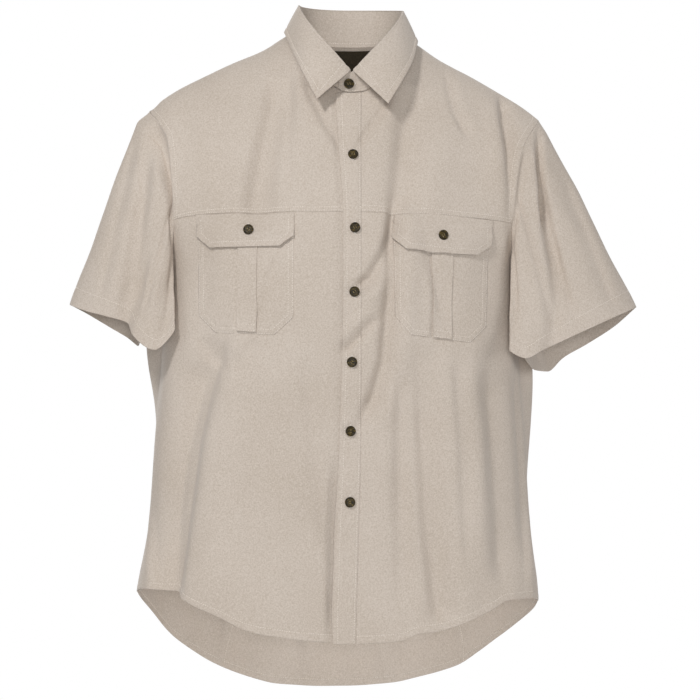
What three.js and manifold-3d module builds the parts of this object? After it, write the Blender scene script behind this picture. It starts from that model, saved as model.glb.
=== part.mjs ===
// Safari shirt with short sleeves, buttoned up and filled out as if worn, with nobody in it.
// Millimetres, +Z up. The front faces -Y. Right and left are the wearer's: right is -X.
// The origin is the middle of the neck, at the height of the back neck seam.
import * as THREE from 'three';
import { mergeVertices } from 'three/addons/utils/BufferGeometryUtils.js';
import Module from 'manifold-3d';

const wasm = await Module();
wasm.setup();

// Cloth and seams
const WALL = 1.5; // a panel's wall
const THIN = 1.1; // a pocket's, flap's or label's wall
const SEAM = 0.3; // the gap between sewn pieces
const BAND = 1.3; // the placket's wall

// The body as a ring at each height: half its width, and where its middle lies
const GIRTH = [
  { height: -800, half: 252, middle: -19 },
  { height: -668, half: 249, middle: -17.5 },
  { height: -586, half: 237, middle: -14.5 },
  { height: -473, half: 229, middle: -14 },
  { height: -366, half: 219.5, middle: -14 },
  { height: -275, half: 212, middle: -12 },
  { height: -200, half: 212, middle: -10 },
  { height: -70, half: 212, middle: -8.5 },
  { height: 60, half: 212, middle: 0 },
];
const FULLNESS = 2.3; // 2 would be an ellipse
const FRONT = { depth: 128, rise: 350, round: 1.6 }; // how the chest comes off the shoulder
const BACK = { depth: 130, rise: 300, round: 1.8 };
const FLARE = { from: -275, rise: 200, out: 110 }; // above the armpit the panels run on to the sleeves
// Behind each side seam the back stands out further than the front
const BULGE = {
  peak: 107,
  end: 165,
  fade: -345,
  top: -285,
  right: { share: 0.165, full: -330, gone: -515 },
  left: { share: 0.127, full: -370, gone: -610 },
};

// The shoulder line, from the neck out
const SHOULDER = [
  { across: 0, right: 50, left: 50 },
  { across: 40, right: 42, left: 40 },
  { across: 68, right: 31, left: 22 },
  { across: 84, right: 21, left: 11 },
  { across: 110, right: 5, left: -7 },
  { across: 148, right: -11, left: -27 },
  { across: 186, right: -29, left: -49 },
  { across: 212, right: -42, left: -65 },
  { across: 234, right: -56, left: -82 },
  { across: 250, right: -69, left: -96 },
];

// The armhole seam, from the armpit (share 0) to the shoulder tip (share 1)
const ARMPIT = -275;
const TIP = { right: -69, left: -81 };
const ARMHOLE = [
  { share: 0, right: 224, left: 200 },
  { share: 0.17, right: 218, left: 197 },
  { share: 0.33, right: 216, left: 197 },
  { share: 0.5, right: 218, left: 201 },
  { share: 0.67, right: 221, left: 205 },
  { share: 0.83, right: 226, left: 213 },
  { share: 0.93, right: 238, left: 224 },
  { share: 1, right: 249, left: 232 },
];

// Seams across the panels: at the centre, and as a share of the armhole
const CHEST_SEAM = { centre: -200, share: 0.33 };
const NECK_ROW = { centre: -53, share: 0.82 };
const YOKE_SEAM = { centre: -96, share: 0.76 };
const ARMPIT_ROW = -272;

// The neck seam: half its width, its height at the shoulder, at the front and at the back
const NECK = { half: 68, side: { right: 31, left: 22 }, front: -53, back: 14 };

// Where the side seam lies, in degrees round from the centre front
const SIDE_SEAM = [
  { height: -800, right: 68, left: 75 },
  { height: -660, right: 68, left: 75 },
  { height: -600, right: 82, left: 85 },
  { height: -550, right: 90, left: 90 },
  { height: -275, right: 90, left: 90 },
];

// The hems, by degrees round from the centre front or from the centre back
const FRONT_HEM = [
  { turn: 0, right: -717, left: -718 },
  { turn: 12, right: -713, left: -715 },
  { turn: 17, right: -710, left: -707 },
  { turn: 24, right: -704, left: -704 },
  { turn: 33, right: -688, left: -695 },
  { turn: 47, right: -668, left: -678 },
  { turn: 54, right: -658, left: -670 },
  { turn: 90, right: -658, left: -670 },
];
const BACK_HEM = [
  { turn: 0, right: -798, left: -798 },
  { turn: 14, right: -795, left: -793 },
  { turn: 21, right: -788, left: -786 },
  { turn: 35, right: -767, left: -769 },
  { turn: 44, right: -749, left: -749 },
  { turn: 53, right: -730, left: -730 },
  { turn: 68, right: -694, left: -704 },
  { turn: 80, right: -676, left: -688 },
  { turn: 90, right: -666, left: -677 },
  { turn: 112, right: -658, left: -670 },
];

// The placket: its free edge and its sewn edge, by height
const PLACKET = [
  { height: -735, free: -22, sewn: 6 },
  { height: -593, free: -18, sewn: 9 },
  { height: -474, free: -14, sewn: 12 },
  { height: -306, free: -9.5, sewn: 12.5 },
  { height: -200, free: -9.5, sewn: 12.5 },
  { height: -125, free: -14.5, sewn: 12.5 },
  { height: -56, free: -18, sewn: 13 },
  { height: 60, free: -18, sewn: 13 },
];

// The largest folds of the front, each a run of points across and up, how deep and how wide
const FRONT_FOLDS = [
  { run: [[-97, -20], [-105, -46], [-112, -75], [-118, -119], [-121, -163]], depth: 2.5, width: 10 },
  { run: [[-67, -32], [-45, -78], [-30, -105], [-19, -127]], depth: 2, width: 8 },
  { run: [[-158, -360], [-176, -420], [-200, -510]], depth: 5, width: 24 },
  { run: [[-170, -486], [-184, -546], [-196, -619], [-206, -657]], depth: 5, width: 20 },
  { run: [[53, -74], [46, -140], [42, -185], [37, -231], [25, -262]], depth: 5, width: 11 },
  { run: [[34, -309], [32, -345], [27, -389], [19, -426]], depth: 5, width: 12 },
  { run: [[109, -22], [118, -50], [128, -86]], depth: 3, width: 9 },
  { run: [[178, -75], [183, -124], [185, -171], [186, -208]], depth: 8, width: 12 },
  { run: [[78, -402], [83, -522], [91, -690]], depth: 4, width: 17 },
  { run: [[166, -426], [166, -522], [171, -640]], depth: 6, width: 17 },
];
const BACK_FOLDS = [
  { run: [[-150, -110], [-150, -400], [-158, -600], [-166, -765]], depth: 3, width: 12 },
  { run: [[132, -110], [130, -400], [132, -600], [134, -765]], depth: 3, width: 12 },
  { run: [[-70, -330], [-60, -480], [-66, -640], [-60, -790]], depth: 5, width: 24 },
  { run: [[48, -420], [40, -560], [34, -700], [36, -790]], depth: 5, width: 22 },
  { run: [[-190, -330], [-205, -470], [-200, -620]], depth: 5, width: 16 },
  { run: [[170, -330], [182, -480], [176, -640]], depth: 5, width: 16 },
  { run: [[-180, -120], [-150, -200], [-95, -260]], depth: 4, width: 16 },
  { run: [[165, -130], [135, -205], [80, -260]], depth: 4, width: 16 },
];

// The sleeve hems, round from the outer corner by the front
const SLEEVE_HEM = {
  right: [
    { turn: 0, x: -349, y: 0, z: -310 },
    { turn: 0.09, x: -326, y: -34, z: -318 },
    { turn: 0.18, x: -299, y: -48, z: -325 },
    { turn: 0.27, x: -274, y: -52, z: -333 },
    { turn: 0.32, x: -266, y: -66, z: -348 },
    { turn: 0.41, x: -238, y: -80, z: -366 },
    { turn: 0.47, x: -214, y: -80, z: -340 },
    { turn: 0.54, x: -228, y: -58, z: -331 },
    { turn: 0.62, x: -246, y: -28, z: -336 },
    { turn: 0.7, x: -260, y: 0, z: -350 },
    { turn: 0.77, x: -266, y: 26, z: -361 },
    { turn: 0.84, x: -282, y: 46, z: -350 },
    { turn: 0.91, x: -306, y: 50, z: -336 },
    { turn: 0.96, x: -332, y: 34, z: -320 },
  ],
  left: [
    { turn: 0, x: 354, y: 0, z: -313 },
    { turn: 0.09, x: 332, y: -36, z: -322 },
    { turn: 0.18, x: 300, y: -54, z: -336 },
    { turn: 0.29, x: 260, y: -66, z: -354 },
    { turn: 0.36, x: 232, y: -78, z: -367 },
    { turn: 0.41, x: 212, y: -86, z: -376 },
    { turn: 0.46, x: 192, y: -86, z: -366 },
    { turn: 0.53, x: 204, y: -64, z: -362 },
    { turn: 0.6, x: 216, y: -40, z: -380 },
    { turn: 0.67, x: 228, y: -8, z: -391 },
    { turn: 0.75, x: 246, y: 26, z: -393 },
    { turn: 0.82, x: 268, y: 44, z: -375 },
    { turn: 0.89, x: 298, y: 50, z: -358 },
    { turn: 0.95, x: 332, y: 34, z: -335 },
  ],
};
const SLEEVE_CAP = { right: 9.5, left: 1.5, full: 0.08 }; // how far the sleeve's head stands out, and by where
const SLEEVE_CLEAR = 3.5; // from the body's side
const CLEAR_SLANT = 1.2; // the clearance is taken along the radius, a little longer than square to the side
const UNDERARM = 0.58; // where the underarm comes round the sleeve's ring
const SLEEVE_FOLDS = {
  right: { start: 0.08, turn: 0.27, width: 0.035, depth: 7, from: 0.05 },
  left: { start: 0.1, turn: 0.33, width: 0.035, depth: 7, from: 0.02 },
};

// The collar: its fold line, and the leaf's outer edge by degrees round from the side
const FOLD = { half: 64, front: -82, back: 62, top: { right: 60, left: 53 }, centre: 60.5, fall: -30, ease: 1.35, middle: 1 };
const LEAF_EDGE = [
  { turn: -90, right: 0, rightZ: 13, left: 0, leftZ: 13, y: 82 },
  { turn: -60, right: 45, rightZ: 16, left: 45, leftZ: 12, y: 74 },
  { turn: -30, right: 76, rightZ: 25, left: 76, leftZ: 15, y: 42 },
  { turn: 0, right: 83, rightZ: 27, left: 83, leftZ: 16, y: -8 },
  { turn: 30, right: 71, rightZ: -2, left: 76, leftZ: -12, y: -56 },
  { turn: 60, right: 56, rightZ: -34, left: 61, leftZ: -42, y: -88 },
  { turn: 90, right: 41, rightZ: -63, left: 45, leftZ: -69, y: -101 },
];
const LEAF_ARCH = { front: 4, side: 0.5 };
const LEAF_END = 1.5; // half the gap between the leaf's two front edges
const STAND_TAB = { left: 16, over: 2.1 }; // the left end runs past the middle, over the right one
const STAND_DROP = 2; // from the fold down to the stand's top edge
const LEAF_ROLL = 0.1;

// Pockets, flaps and the label as outlines across and up
const POCKETS = {
  right: {
    bag: [[-187, -208], [-185, -325], [-166, -345], [-92, -348], [-69, -327], [-68, -208]],
    pleat: [[-136, -225], [-136.5, -343.5], [-113, -344.5], [-112.5, -225]],
    flap: [[-189, -201.5], [-186, -230], [-167, -244.5], [-124, -242.5], [-84, -243], [-68, -230], [-68, -201.5]],
    button: [-123.5, -221.5],
  },
  left: {
    bag: [[53.5, -206], [53.5, -326], [71, -348], [144, -357.5], [164, -338], [169, -212]],
    pleat: [[98, -226], [98, -350.5], [121, -353.5], [122, -228]],
    flap: [[55, -201.5], [53.5, -228.5], [66.5, -245], [121, -250.5], [151, -251], [169, -239], [173, -209], [100, -201.5]],
    button: [109.5, -228],
  },
};
const LABEL = { left: -21, right: 25, top: 9, bottom: -20 };

// Buttons: where each sits, and the button itself
const BUTTONS = [[2.4, -131], [4.8, -219.5], [4.8, -296.5], [1.2, -380.5], [-1.2, -463], [-1.2, -548]];
const STAND_BUTTON = [-2.4, -43];
const BUTTON = { radius: 6.3, height: 2.6, rim: 1.2, dish: 0.9, hole: 0.75, spread: 1.35, sides: 16 };
const CALM = { side: 9, top: 2.5, backTop: 1.5 }; // how fast the folds die out towards a panel's edges
const FOLD_ENDS = { ramp: 4, start: 0.35 }; // how each fold fades in and out along its run
const ROUNDING = 1.6; // how the rows crowd towards the shoulder
const LAP = { from: 50, over: 30 }; // the degrees in which the stand's left end steps out over its right
const ARCH_PEAK = 0.7; // below 1, the leaf's arch is highest near its fold
const CAP_WAY = { out: 0.93, up: 0.37 }; // which way the sleeve's head stands out
const LEVELS = { pocket: SEAM, pleat: 1.7, flap: 3.1, button: 0.4 };

const SIDE_BOTTOM = -665; // the foot of the side seams
const PLACKET_TOP = { free: -18, sewn: 13 }; // the placket's edges under the collar
const CLEAR_RAMP = 12; // below the armpit, the height over which a sleeve comes clear of the side
const FOLD_RAMP = 0.4; // the share down a sleeve over which its fold comes to its full depth
const SEAT = 0.8; // a button's foot, as a share of its radius
const REACH = 300; // past the shirt's depth, for cutting
const FRONT_ROWS = [
  { centre: ARMPIT_ROW, share: 0, bend: { right: 1, left: 1 } },
  { centre: CHEST_SEAM.centre, share: CHEST_SEAM.share, bend: { right: 5, left: 1.3 } },
  { centre: NECK_ROW.centre, share: NECK_ROW.share, bend: { right: 1, left: 1 } },
  { centre: NECK_ROW.centre, share: 1, bend: { right: 1, left: 1 } },
];
const BACK_ROWS = [
  { centre: ARMPIT_ROW, share: 0 },
  { centre: YOKE_SEAM.centre, share: YOKE_SEAM.share },
  { centre: NECK.back, share: 1 },
];

// How finely each piece is divided
const GRID = { across: 12, neck: 4, hem: 11, armpit: 2, chest: 3, neckRows: 6, backRows: 4, ring: 8, leaf: 5, edge: 5 };

const NECK_SHARE = GRID.neck / (GRID.neck + GRID.across); // of the back's half width

const rad = THREE.MathUtils.degToRad;
const clamp = (t, low = 0, high = 1) => Math.min(high, Math.max(low, t));
const mix = (a, b, t) => a + (b - a) * t;
const smooth = (t) => clamp(t) * clamp(t) * (3 - 2 * clamp(t));
const vec = (x, y, z) => new THREE.Vector3(x, y, z);
const nameOf = (side) => (side < 0 ? 'right' : 'left');

// A column of a table at any place between its rows, on a smooth curve through them
function column(rows, key, at, value) {
  const last = rows.length - 1;
  if (at <= rows[0][key]) return rows[0][value];
  if (at >= rows[last][key]) return rows[last][value];
  let i = 0;
  while (rows[i + 1][key] < at) i += 1;
  const slope = (a, b) => (rows[b][value] - rows[a][value]) / (rows[b][key] - rows[a][key]);
  const width = rows[i + 1][key] - rows[i][key];
  const own = slope(i, i + 1);
  const limited = (other) => (other * own <= 0 ? 0 : (2 * other * own) / (other + own));
  const before = i > 0 ? limited(slope(i - 1, i)) : 0;
  const after = i + 1 < last ? limited(slope(i + 1, i + 2)) : 0;
  const t = (at - rows[i][key]) / width;
  const bend = before * width * t * (1 - t) * (1 - t) - after * width * t * t * (1 - t);
  return mix(rows[i][value], rows[i + 1][value], t * t * (3 - 2 * t)) + bend;
}

const middleAt = (z) => column(GIRTH, 'height', z, 'middle');
const flare = (z) => FLARE.out * smooth((z - FLARE.from) / FLARE.rise);
const halfAt = (z) => column(GIRTH, 'height', z, 'half') + flare(z);
const shoulderAt = (x) => column(SHOULDER, 'across', Math.abs(x), nameOf(x));
const sideSeamAt = (side, z) => column(SIDE_SEAM, 'height', z, nameOf(side));

// How far a panel has come forward, this far below the shoulder line
function offShoulder(form, below) {
  const rest = 1 - clamp(below / form.rise);
  return (1 - rest ** form.round) ** (1 / form.round);
}

function sideBulge(side, turn, z) {
  const { share, full, gone } = BULGE[nameOf(side)];
  const foot = smooth((z - gone) / (full - gone));
  const tall = foot * (1 - smooth((z - BULGE.fade) / (BULGE.top - BULGE.fade)));
  const up = smooth((turn - 90) / (BULGE.peak - 90));
  const down = 1 - smooth((turn - BULGE.peak) / (BULGE.end - BULGE.peak));
  return share * tall * Math.min(up, down);
}

// The body's surface, this many degrees round from the centre front, on one side, at one height
function ringPoint(side, turn, z) {
  const power = 2 / FULLNESS;
  const sine = Math.sin(rad(turn));
  const cosine = Math.cos(rad(turn));
  const wide = halfAt(z) * Math.sign(sine) * Math.abs(sine) ** power * (1 + sideBulge(side, turn, z));
  const x = middleAt(z) + side * wide;
  const form = cosine > 0 ? FRONT : BACK;
  const y = -form.depth * Math.sign(cosine) * Math.abs(cosine) ** power * offShoulder(form, shoulderAt(x) - z);
  return vec(x, y, z);
}

function ringNormal(side, turn, z) {
  const step = 0.5;
  const round = ringPoint(side, turn + step, z).sub(ringPoint(side, turn - step, z));
  const up = ringPoint(side, turn, z + step).sub(ringPoint(side, turn, z - step));
  return round.cross(up).multiplyScalar(side).normalize();
}

// The turn at which the front or the back is this far across
function turnAt(side, x, z, behind) {
  const share = clamp((side * (x - middleAt(z))) / halfAt(z), -1, 1);
  const turn = THREE.MathUtils.radToDeg(Math.asin(Math.sign(share) * Math.abs(share) ** (FULLNESS / 2)));
  return behind ? 180 - turn : turn;
}

// How deep the folds press in at one place of a panel
function foldDepth(folds, x, z) {
  let total = 0;
  for (const { run, depth, width } of folds) {
    let near = Infinity;
    let along = 0;
    for (let i = 0; i + 1 < run.length; i += 1) {
      const [ax, az] = run[i];
      const [bx, bz] = run[i + 1];
      const length = Math.hypot(bx - ax, bz - az);
      const t = clamp(((x - ax) * (bx - ax) + (z - az) * (bz - az)) / length ** 2);
      const gap = Math.hypot(x - mix(ax, bx, t), z - mix(az, bz, t));
      if (gap < near) {
        near = gap;
        along = (i + t) / (run.length - 1);
      }
    }
    const { ramp, start } = FOLD_ENDS;
    const taper = smooth(along * ramp + start) * smooth((1 - along) * ramp + start);
    total += depth * taper * Math.exp(-((near / width) ** 2));
  }
  return total;
}

const tipOf = (side) => TIP[nameOf(side)];
const armholeHeight = (side, share) => mix(ARMPIT, tipOf(side), share);
const armholeAcross = (side, share) => side * column(ARMHOLE, 'share', share, nameOf(side));

// The neck seam of the front, as it is seen: across and up, from the centre front (0) to the shoulder (1)
function neckSeam(side, t) {
  const start = column(PLACKET, 'height', NECK.front, 'sewn');
  const x = mix(start, side * NECK.half, Math.sin(rad(90 * t)));
  const share = THREE.MathUtils.radToDeg(Math.asin(Math.abs(x) / NECK.half)) / 90;
  return [x, mix(NECK.front, NECK.side[nameOf(side)], 0.5 - 0.5 * Math.cos(Math.PI * share))];
}

// A panel's point at one place across and up, with its folds pressed in
function panelPoint(side, x, z, behind, calm = 1) {
  const turn = turnAt(side, x, z, behind);
  return foldedPoint(side, turn, z, behind, calm);
}

function foldedPoint(side, turn, z, behind, calm) {
  const point = ringPoint(side, turn, z);
  const depth = calm * foldDepth(behind ? BACK_FOLDS : FRONT_FOLDS, point.x, z);
  return depth > 0.01 ? point.addScaledVector(ringNormal(side, turn, z), -depth) : point;
}

// A row of a panel a share v of the way up from its hem to the armpit: how far round the side seam is,
// and how high the row lies at u. Both panels read the seam at the heights of its own points, from its
// foot on the hem, so that they meet along one line.
function lowerRow(side, hem, foot, u, v) {
  const low = (share) => column(hem, 'turn', foot * share, nameOf(side));
  const seam = sideSeamAt(side, mix(low(1), ARMPIT, v));
  return [seam, mix(low(u), mix(ARMPIT_ROW, ARMPIT, u), v)];
}

// One front from the hem (v 0) to the armpit (1), the chest seam (2), the neck (3) and the shoulder (4).
// It runs from the placket (u 0) to the side seam, the armhole or the shoulder tip (u 1).
function frontPoint(side, u, v) {
  const calm = smooth((1 - u) * CALM.side) * smooth((4 - v) * CALM.top);
  if (v <= 1) {
    const [seam, z] = lowerRow(side, FRONT_HEM, sideSeamAt(side, SIDE_BOTTOM), u, v);
    const start = turnAt(side, column(PLACKET, 'height', z, 'sewn'), z, false);
    return foldedPoint(side, mix(start, seam, u), z, false, calm);
  }
  const low = Math.min(3, Math.floor(v));
  const t = v - low;
  const [below, above] = [FRONT_ROWS[low - 1], FRONT_ROWS[low]];
  const share = mix(below.share, above.share, low === 3 ? 1 - (1 - t) ** ROUNDING : t);
  const outX = armholeAcross(side, share);
  const bend = mix(below.bend[nameOf(side)], above.bend[nameOf(side)], t);
  let inZ = mix(below.centre, above.centre, t);
  let inX = column(PLACKET, 'height', inZ, 'sewn');
  if (low === 3) [inX, inZ] = neckSeam(side, t);
  let z = mix(inZ, armholeHeight(side, share), u ** bend);
  if (low === 3) {
    const x = mix(inX, outX, u);
    const chord = mix(NECK.side[nameOf(side)], tipOf(side), u);
    z += (shoulderAt(mix(side * NECK.half, armholeAcross(side, 1), u)) - chord) * t ** 3;
    return panelPoint(side, x, Math.min(z, shoulderAt(x)), false, calm);
  }
  const turn = mix(turnAt(side, inX, z, false), turnAt(side, outX, z, false), u);
  return foldedPoint(side, turn, z, false, calm);
}

// The back from the hem (v 0) to the armpits (1), the yoke seam (2) and the neck and shoulders (3).
// It runs from the centre back (u 0) to the side seam, the armhole or the shoulder tip (u 1).
function backPoint(side, u, v) {
  const calm = smooth((1 - u) * CALM.side) * smooth((3 - v) * CALM.backTop);
  if (v <= 1) {
    const [seam, z] = lowerRow(side, BACK_HEM, 180 - sideSeamAt(side, SIDE_BOTTOM), u, v);
    return foldedPoint(side, mix(180, seam, u), z, true, calm);
  }
  const low = Math.min(2, Math.floor(v));
  const t = v - low;
  const [below, above] = [BACK_ROWS[low - 1], BACK_ROWS[low]];
  const share = mix(below.share, above.share, low === 2 ? 1 - (1 - t) ** ROUNDING : t);
  const z = mix(mix(below.centre, above.centre, t), armholeHeight(side, share), u);
  const edge = turnAt(side, armholeAcross(side, share), z, true);
  if (low < 2) return foldedPoint(side, mix(180, edge, u), z, true, calm);
  const seamZ = mix(below.centre, armholeHeight(side, below.share), u);
  const seamTurn = mix(180, turnAt(side, armholeAcross(side, below.share), seamZ, true), u);
  const [topX, topZ] = backTop(side, u);
  const x = mix(ringPoint(side, seamTurn, seamZ).x, topX, t);
  const up = 1 - (1 - t) ** ROUNDING;
  return panelPoint(side, x, Math.min(mix(seamZ, topZ, up), shoulderAt(x)), true, calm);
}

// The top edge of the back yoke: the back of the neck, then the shoulder
function backTop(side, u) {
  if (u < NECK_SHARE) {
    const t = u / NECK_SHARE;
    return [side * NECK.half * Math.sin(rad(90 * t)), mix(NECK.back, NECK.side[nameOf(side)], t ** 3)];
  }
  const x = mix(side * NECK.half, armholeAcross(side, 1), (u - NECK_SHARE) / (1 - NECK_SHARE));
  return [x, shoulderAt(x)];
}

// Grids of points: rows of columns, with a normal at every point
function gridOf(rowValues, columnValues, point) {
  const points = rowValues.map((v) => columnValues.map((u) => point(u, v)));
  return { points, normals: normalsOf(points, false) };
}

function normalsOf(points, closed) {
  const rows = points.length;
  const columns = points[0].length;
  const at = (i, j) => points[clamp(i, 0, rows - 1)][closed ? (j + columns) % columns : clamp(j, 0, columns - 1)];
  return points.map((row, i) => row.map((p, j) => {
    const round = at(i, j + 1).clone().sub(at(i, j - 1));
    const up = at(i + 1, j).clone().sub(at(i - 1, j));
    return round.cross(up).normalize();
  }));
}

const flipped = (grid) => ({ points: grid.points, normals: grid.normals.map((row) => row.map((n) => n.clone().negate())) });
const rowsOf = (grid, from, to) => ({ points: grid.points.slice(from, to + 1), normals: grid.normals.slice(from, to + 1) });

// Two edges that are sewn together share the mean of their normals
function mitre(first, second) {
  first.forEach((normal, i) => {
    const mean = normal.clone().add(second[i]).normalize();
    normal.copy(mean);
    second[i].copy(mean);
  });
}

// Moves a grid's edge in along its own rows or columns by half a seam's gap
function trimmed(grid, edges) {
  const points = grid.points.map((row) => row.map((p) => p.clone()));
  const [lastRow, lastColumn] = [points.length - 1, points[0].length - 1];
  const pull = (p, q) => p.add(q.clone().sub(p).setLength(SEAM / 2));
  if (edges.bottom) points[0].forEach((p, j) => pull(p, points[1][j]));
  if (edges.top) points[lastRow].forEach((p, j) => pull(p, points[lastRow - 1][j]));
  if (edges.start) points.forEach((row) => pull(row[0], row[1]));
  if (edges.end) points.forEach((row) => pull(row[lastColumn], row[lastColumn - 1]));
  return { points, normals: grid.normals };
}

// A closed body from a list of points and triangles, its faces pointing out
function bodyOf(positions, triangles) {
  let volume = 0;
  for (let i = 0; i < triangles.length; i += 3) {
    const [a, b, c] = [0, 1, 2].map((k) => vec(...positions.slice(triangles[i + k] * 3, triangles[i + k] * 3 + 3)));
    volume += a.dot(b.cross(c));
  }
  if (volume < 0) triangles.reverse();
  const geometry = new THREE.BufferGeometry();
  geometry.setAttribute('position', new THREE.Float32BufferAttribute(positions, 3));
  geometry.setIndex(triangles);
  return geometry;
}

// A wall on a grid, between two distances out along its normals
function wallOf(grid, outer, inner, closed = false) {
  const rows = grid.points.length;
  const columns = grid.points[0].length;
  const positions = [];
  for (const out of [outer, inner]) {
    grid.points.forEach((row, i) => row.forEach((p, j) => {
      positions.push(...p.clone().addScaledVector(grid.normals[i][j], out).toArray());
    }));
  }
  const id = (layer, i, j) => layer * rows * columns + i * columns + (j % columns);
  const triangles = [];
  const quad = (a, b, c, d) => triangles.push(a, b, c, a, c, d);
  const across = closed ? columns : columns - 1;
  for (let i = 0; i + 1 < rows; i += 1) {
    for (let j = 0; j < across; j += 1) {
      quad(id(0, i, j), id(0, i, j + 1), id(0, i + 1, j + 1), id(0, i + 1, j));
      quad(id(1, i, j), id(1, i + 1, j), id(1, i + 1, j + 1), id(1, i, j + 1));
    }
    if (!closed) {
      quad(id(0, i, 0), id(0, i + 1, 0), id(1, i + 1, 0), id(1, i, 0));
      quad(id(0, i, across), id(1, i, across), id(1, i + 1, across), id(0, i + 1, across));
    }
  }
  for (let j = 0; j < across; j += 1) {
    quad(id(0, 0, j), id(1, 0, j), id(1, 0, j + 1), id(0, 0, j + 1));
    quad(id(0, rows - 1, j), id(0, rows - 1, j + 1), id(1, rows - 1, j + 1), id(1, rows - 1, j));
  }
  return bodyOf(positions, triangles);
}

// Joining and cutting
function toManifold(geometry) {
  const bare = new THREE.BufferGeometry();
  bare.setAttribute('position', geometry.getAttribute('position'));
  if (geometry.index) bare.setIndex(geometry.index);
  const merged = mergeVertices(bare, 1e-4);
  const vertProperties = new Float32Array(merged.getAttribute('position').array);
  return new wasm.Manifold(new wasm.Mesh({ numProp: 3, vertProperties, triVerts: new Uint32Array(merged.index.array) }));
}

function fromManifold(solid) {
  const mesh = solid.getMesh();
  const geometry = new THREE.BufferGeometry();
  geometry.setAttribute('position', new THREE.BufferAttribute(new Float32Array(mesh.vertProperties), 3));
  geometry.setIndex(new THREE.BufferAttribute(new Uint32Array(mesh.triVerts), 1));
  return geometry;
}

// A piece that lies on a panel: the panel's own grid moved out, cut to an outline across and up
function onPanel(grid, outer, inner, outline, behind = false) {
  const shape = new THREE.Shape(outline.map(([x, z]) => new THREE.Vector2(x, z)));
  const prism = new THREE.ExtrudeGeometry(shape, { depth: REACH, bevelEnabled: false });
  prism.rotateX(Math.PI / 2);
  if (behind) prism.translate(0, REACH, 0);
  return fromManifold(toManifold(wallOf(grid, outer, inner)).intersect(toManifold(prism)));
}

// Fronts
const series = (count, from, to) => Array.from({ length: count + 1 }, (_, i) => mix(from, to, i / count));
const joined = (...lists) => lists.flatMap((list, i) => (i ? list.slice(1) : list));
const frontRows = joined(
  series(GRID.hem, 0, 1),
  series(GRID.armpit, 1, 2),
  series(GRID.chest, 2, 3),
  series(GRID.neckRows, 3, 4),
);
const chestRow = GRID.hem + GRID.armpit;
const backRows = joined(series(GRID.hem, 0, 1), series(GRID.backRows, 1, 2), series(GRID.neckRows, 2, 3));
const yokeRow = GRID.hem + GRID.backRows;
const across = series(GRID.across, 0, 1);
const halfBack = joined(series(GRID.neck, 0, NECK_SHARE), series(GRID.across, NECK_SHARE, 1));
const backColumns = [...halfBack.slice(1).reverse().map((u) => -u), ...halfBack];

const fronts = {
  right: flipped(gridOf(frontRows, across, (u, v) => frontPoint(-1, u, v))),
  left: gridOf(frontRows, across, (u, v) => frontPoint(1, u, v)),
};
const back = flipped(gridOf(backRows, backColumns, (u, v) => backPoint(u < 0 ? -1 : 1, Math.abs(u), v)));

const columnOf = (list, j) => list.map((row) => row[j]);
mitre(columnOf(fronts.right.normals, 0).slice(0, chestRow + GRID.chest + 1), columnOf(fronts.left.normals, 0));
for (const [name, end, step] of [['right', 0, 1], ['left', backColumns.length - 1, -1]]) {
  mitre(columnOf(fronts[name].normals, GRID.across).slice(0, GRID.hem + 1), columnOf(back.normals, end));
  const shoulder = back.normals.at(-1).filter((_, j) => (j - end) * step <= GRID.across && (j - end) * step >= 0);
  if (step > 0) shoulder.reverse();
  mitre(fronts[name].normals.at(-1), shoulder);
}

const meshes = [];
function add(name, geometry, material) {
  const bare = new THREE.BufferGeometry();
  bare.setAttribute('position', geometry.getAttribute('position'));
  bare.setIndex(geometry.index);
  bare.computeVertexNormals();
  const mesh = new THREE.Mesh(bare, material);
  mesh.name = name;
  meshes.push(mesh);
  return mesh;
}

const CLOTH = new THREE.MeshStandardMaterial({ color: 0xcabdb0, roughness: 0.9, metalness: 0 });
const LABEL_CLOTH = new THREE.MeshStandardMaterial({ color: 0x2e2618, roughness: 0.8, metalness: 0 });
const HORN = new THREE.MeshStandardMaterial({ color: 0x4a3524, roughness: 0.4, metalness: 0 });

for (const name of ['right', 'left']) {
  const lower = trimmed(rowsOf(fronts[name], 0, chestRow), { top: true, start: true, end: true });
  const yoke = trimmed(rowsOf(fronts[name], chestRow, frontRows.length - 1), { bottom: true, top: true, start: true });
  add(`front_${name}`, wallOf(lower, 0, -WALL), CLOTH);
  add(`front_yoke_${name}`, wallOf(yoke, 0, -WALL), CLOTH);
}
add('back', wallOf(trimmed(rowsOf(back, 0, yokeRow), { top: true, start: true, end: true }), 0, -WALL), CLOTH);
add('back_yoke', wallOf(trimmed(rowsOf(back, yokeRow, backRows.length - 1), { bottom: true, top: true }), 0, -WALL), CLOTH);

// The placket, over the right front's edge
const plackets = PLACKET.filter(({ height }) => height < NECK.front);
const placketEdges = [...plackets, { height: NECK.front - 1, ...PLACKET_TOP }];
const placketOutline = [
  ...placketEdges.map(({ height, sewn }) => [sewn - SEAM, height]),
  ...[...placketEdges].reverse().map(({ height, free }) => [free, height]),
];
const frontEdge = {
  points: fronts.right.points.slice(0, chestRow + GRID.chest + 1).map((row) => row.slice(0, GRID.edge)),
  normals: fronts.right.normals.slice(0, chestRow + GRID.chest + 1).map((row) => row.slice(0, GRID.edge)),
};
add('placket', onPanel(frontEdge, SEAM + BAND, SEAM, placketOutline), CLOTH);

// Pockets
for (const [name, pocket] of Object.entries(POCKETS)) {
  const panel = rowsOf(fronts[name], 5, chestRow + 2);
  add(`pocket_${name}`, onPanel(panel, LEVELS.pocket + THIN, LEVELS.pocket, pocket.bag), CLOTH);
  add(`pocket_pleat_${name}`, onPanel(panel, LEVELS.pleat + THIN, LEVELS.pleat, pocket.pleat), CLOTH);
  add(`pocket_flap_${name}`, onPanel(panel, LEVELS.flap + THIN, LEVELS.flap, pocket.flap), CLOTH);
}

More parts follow.
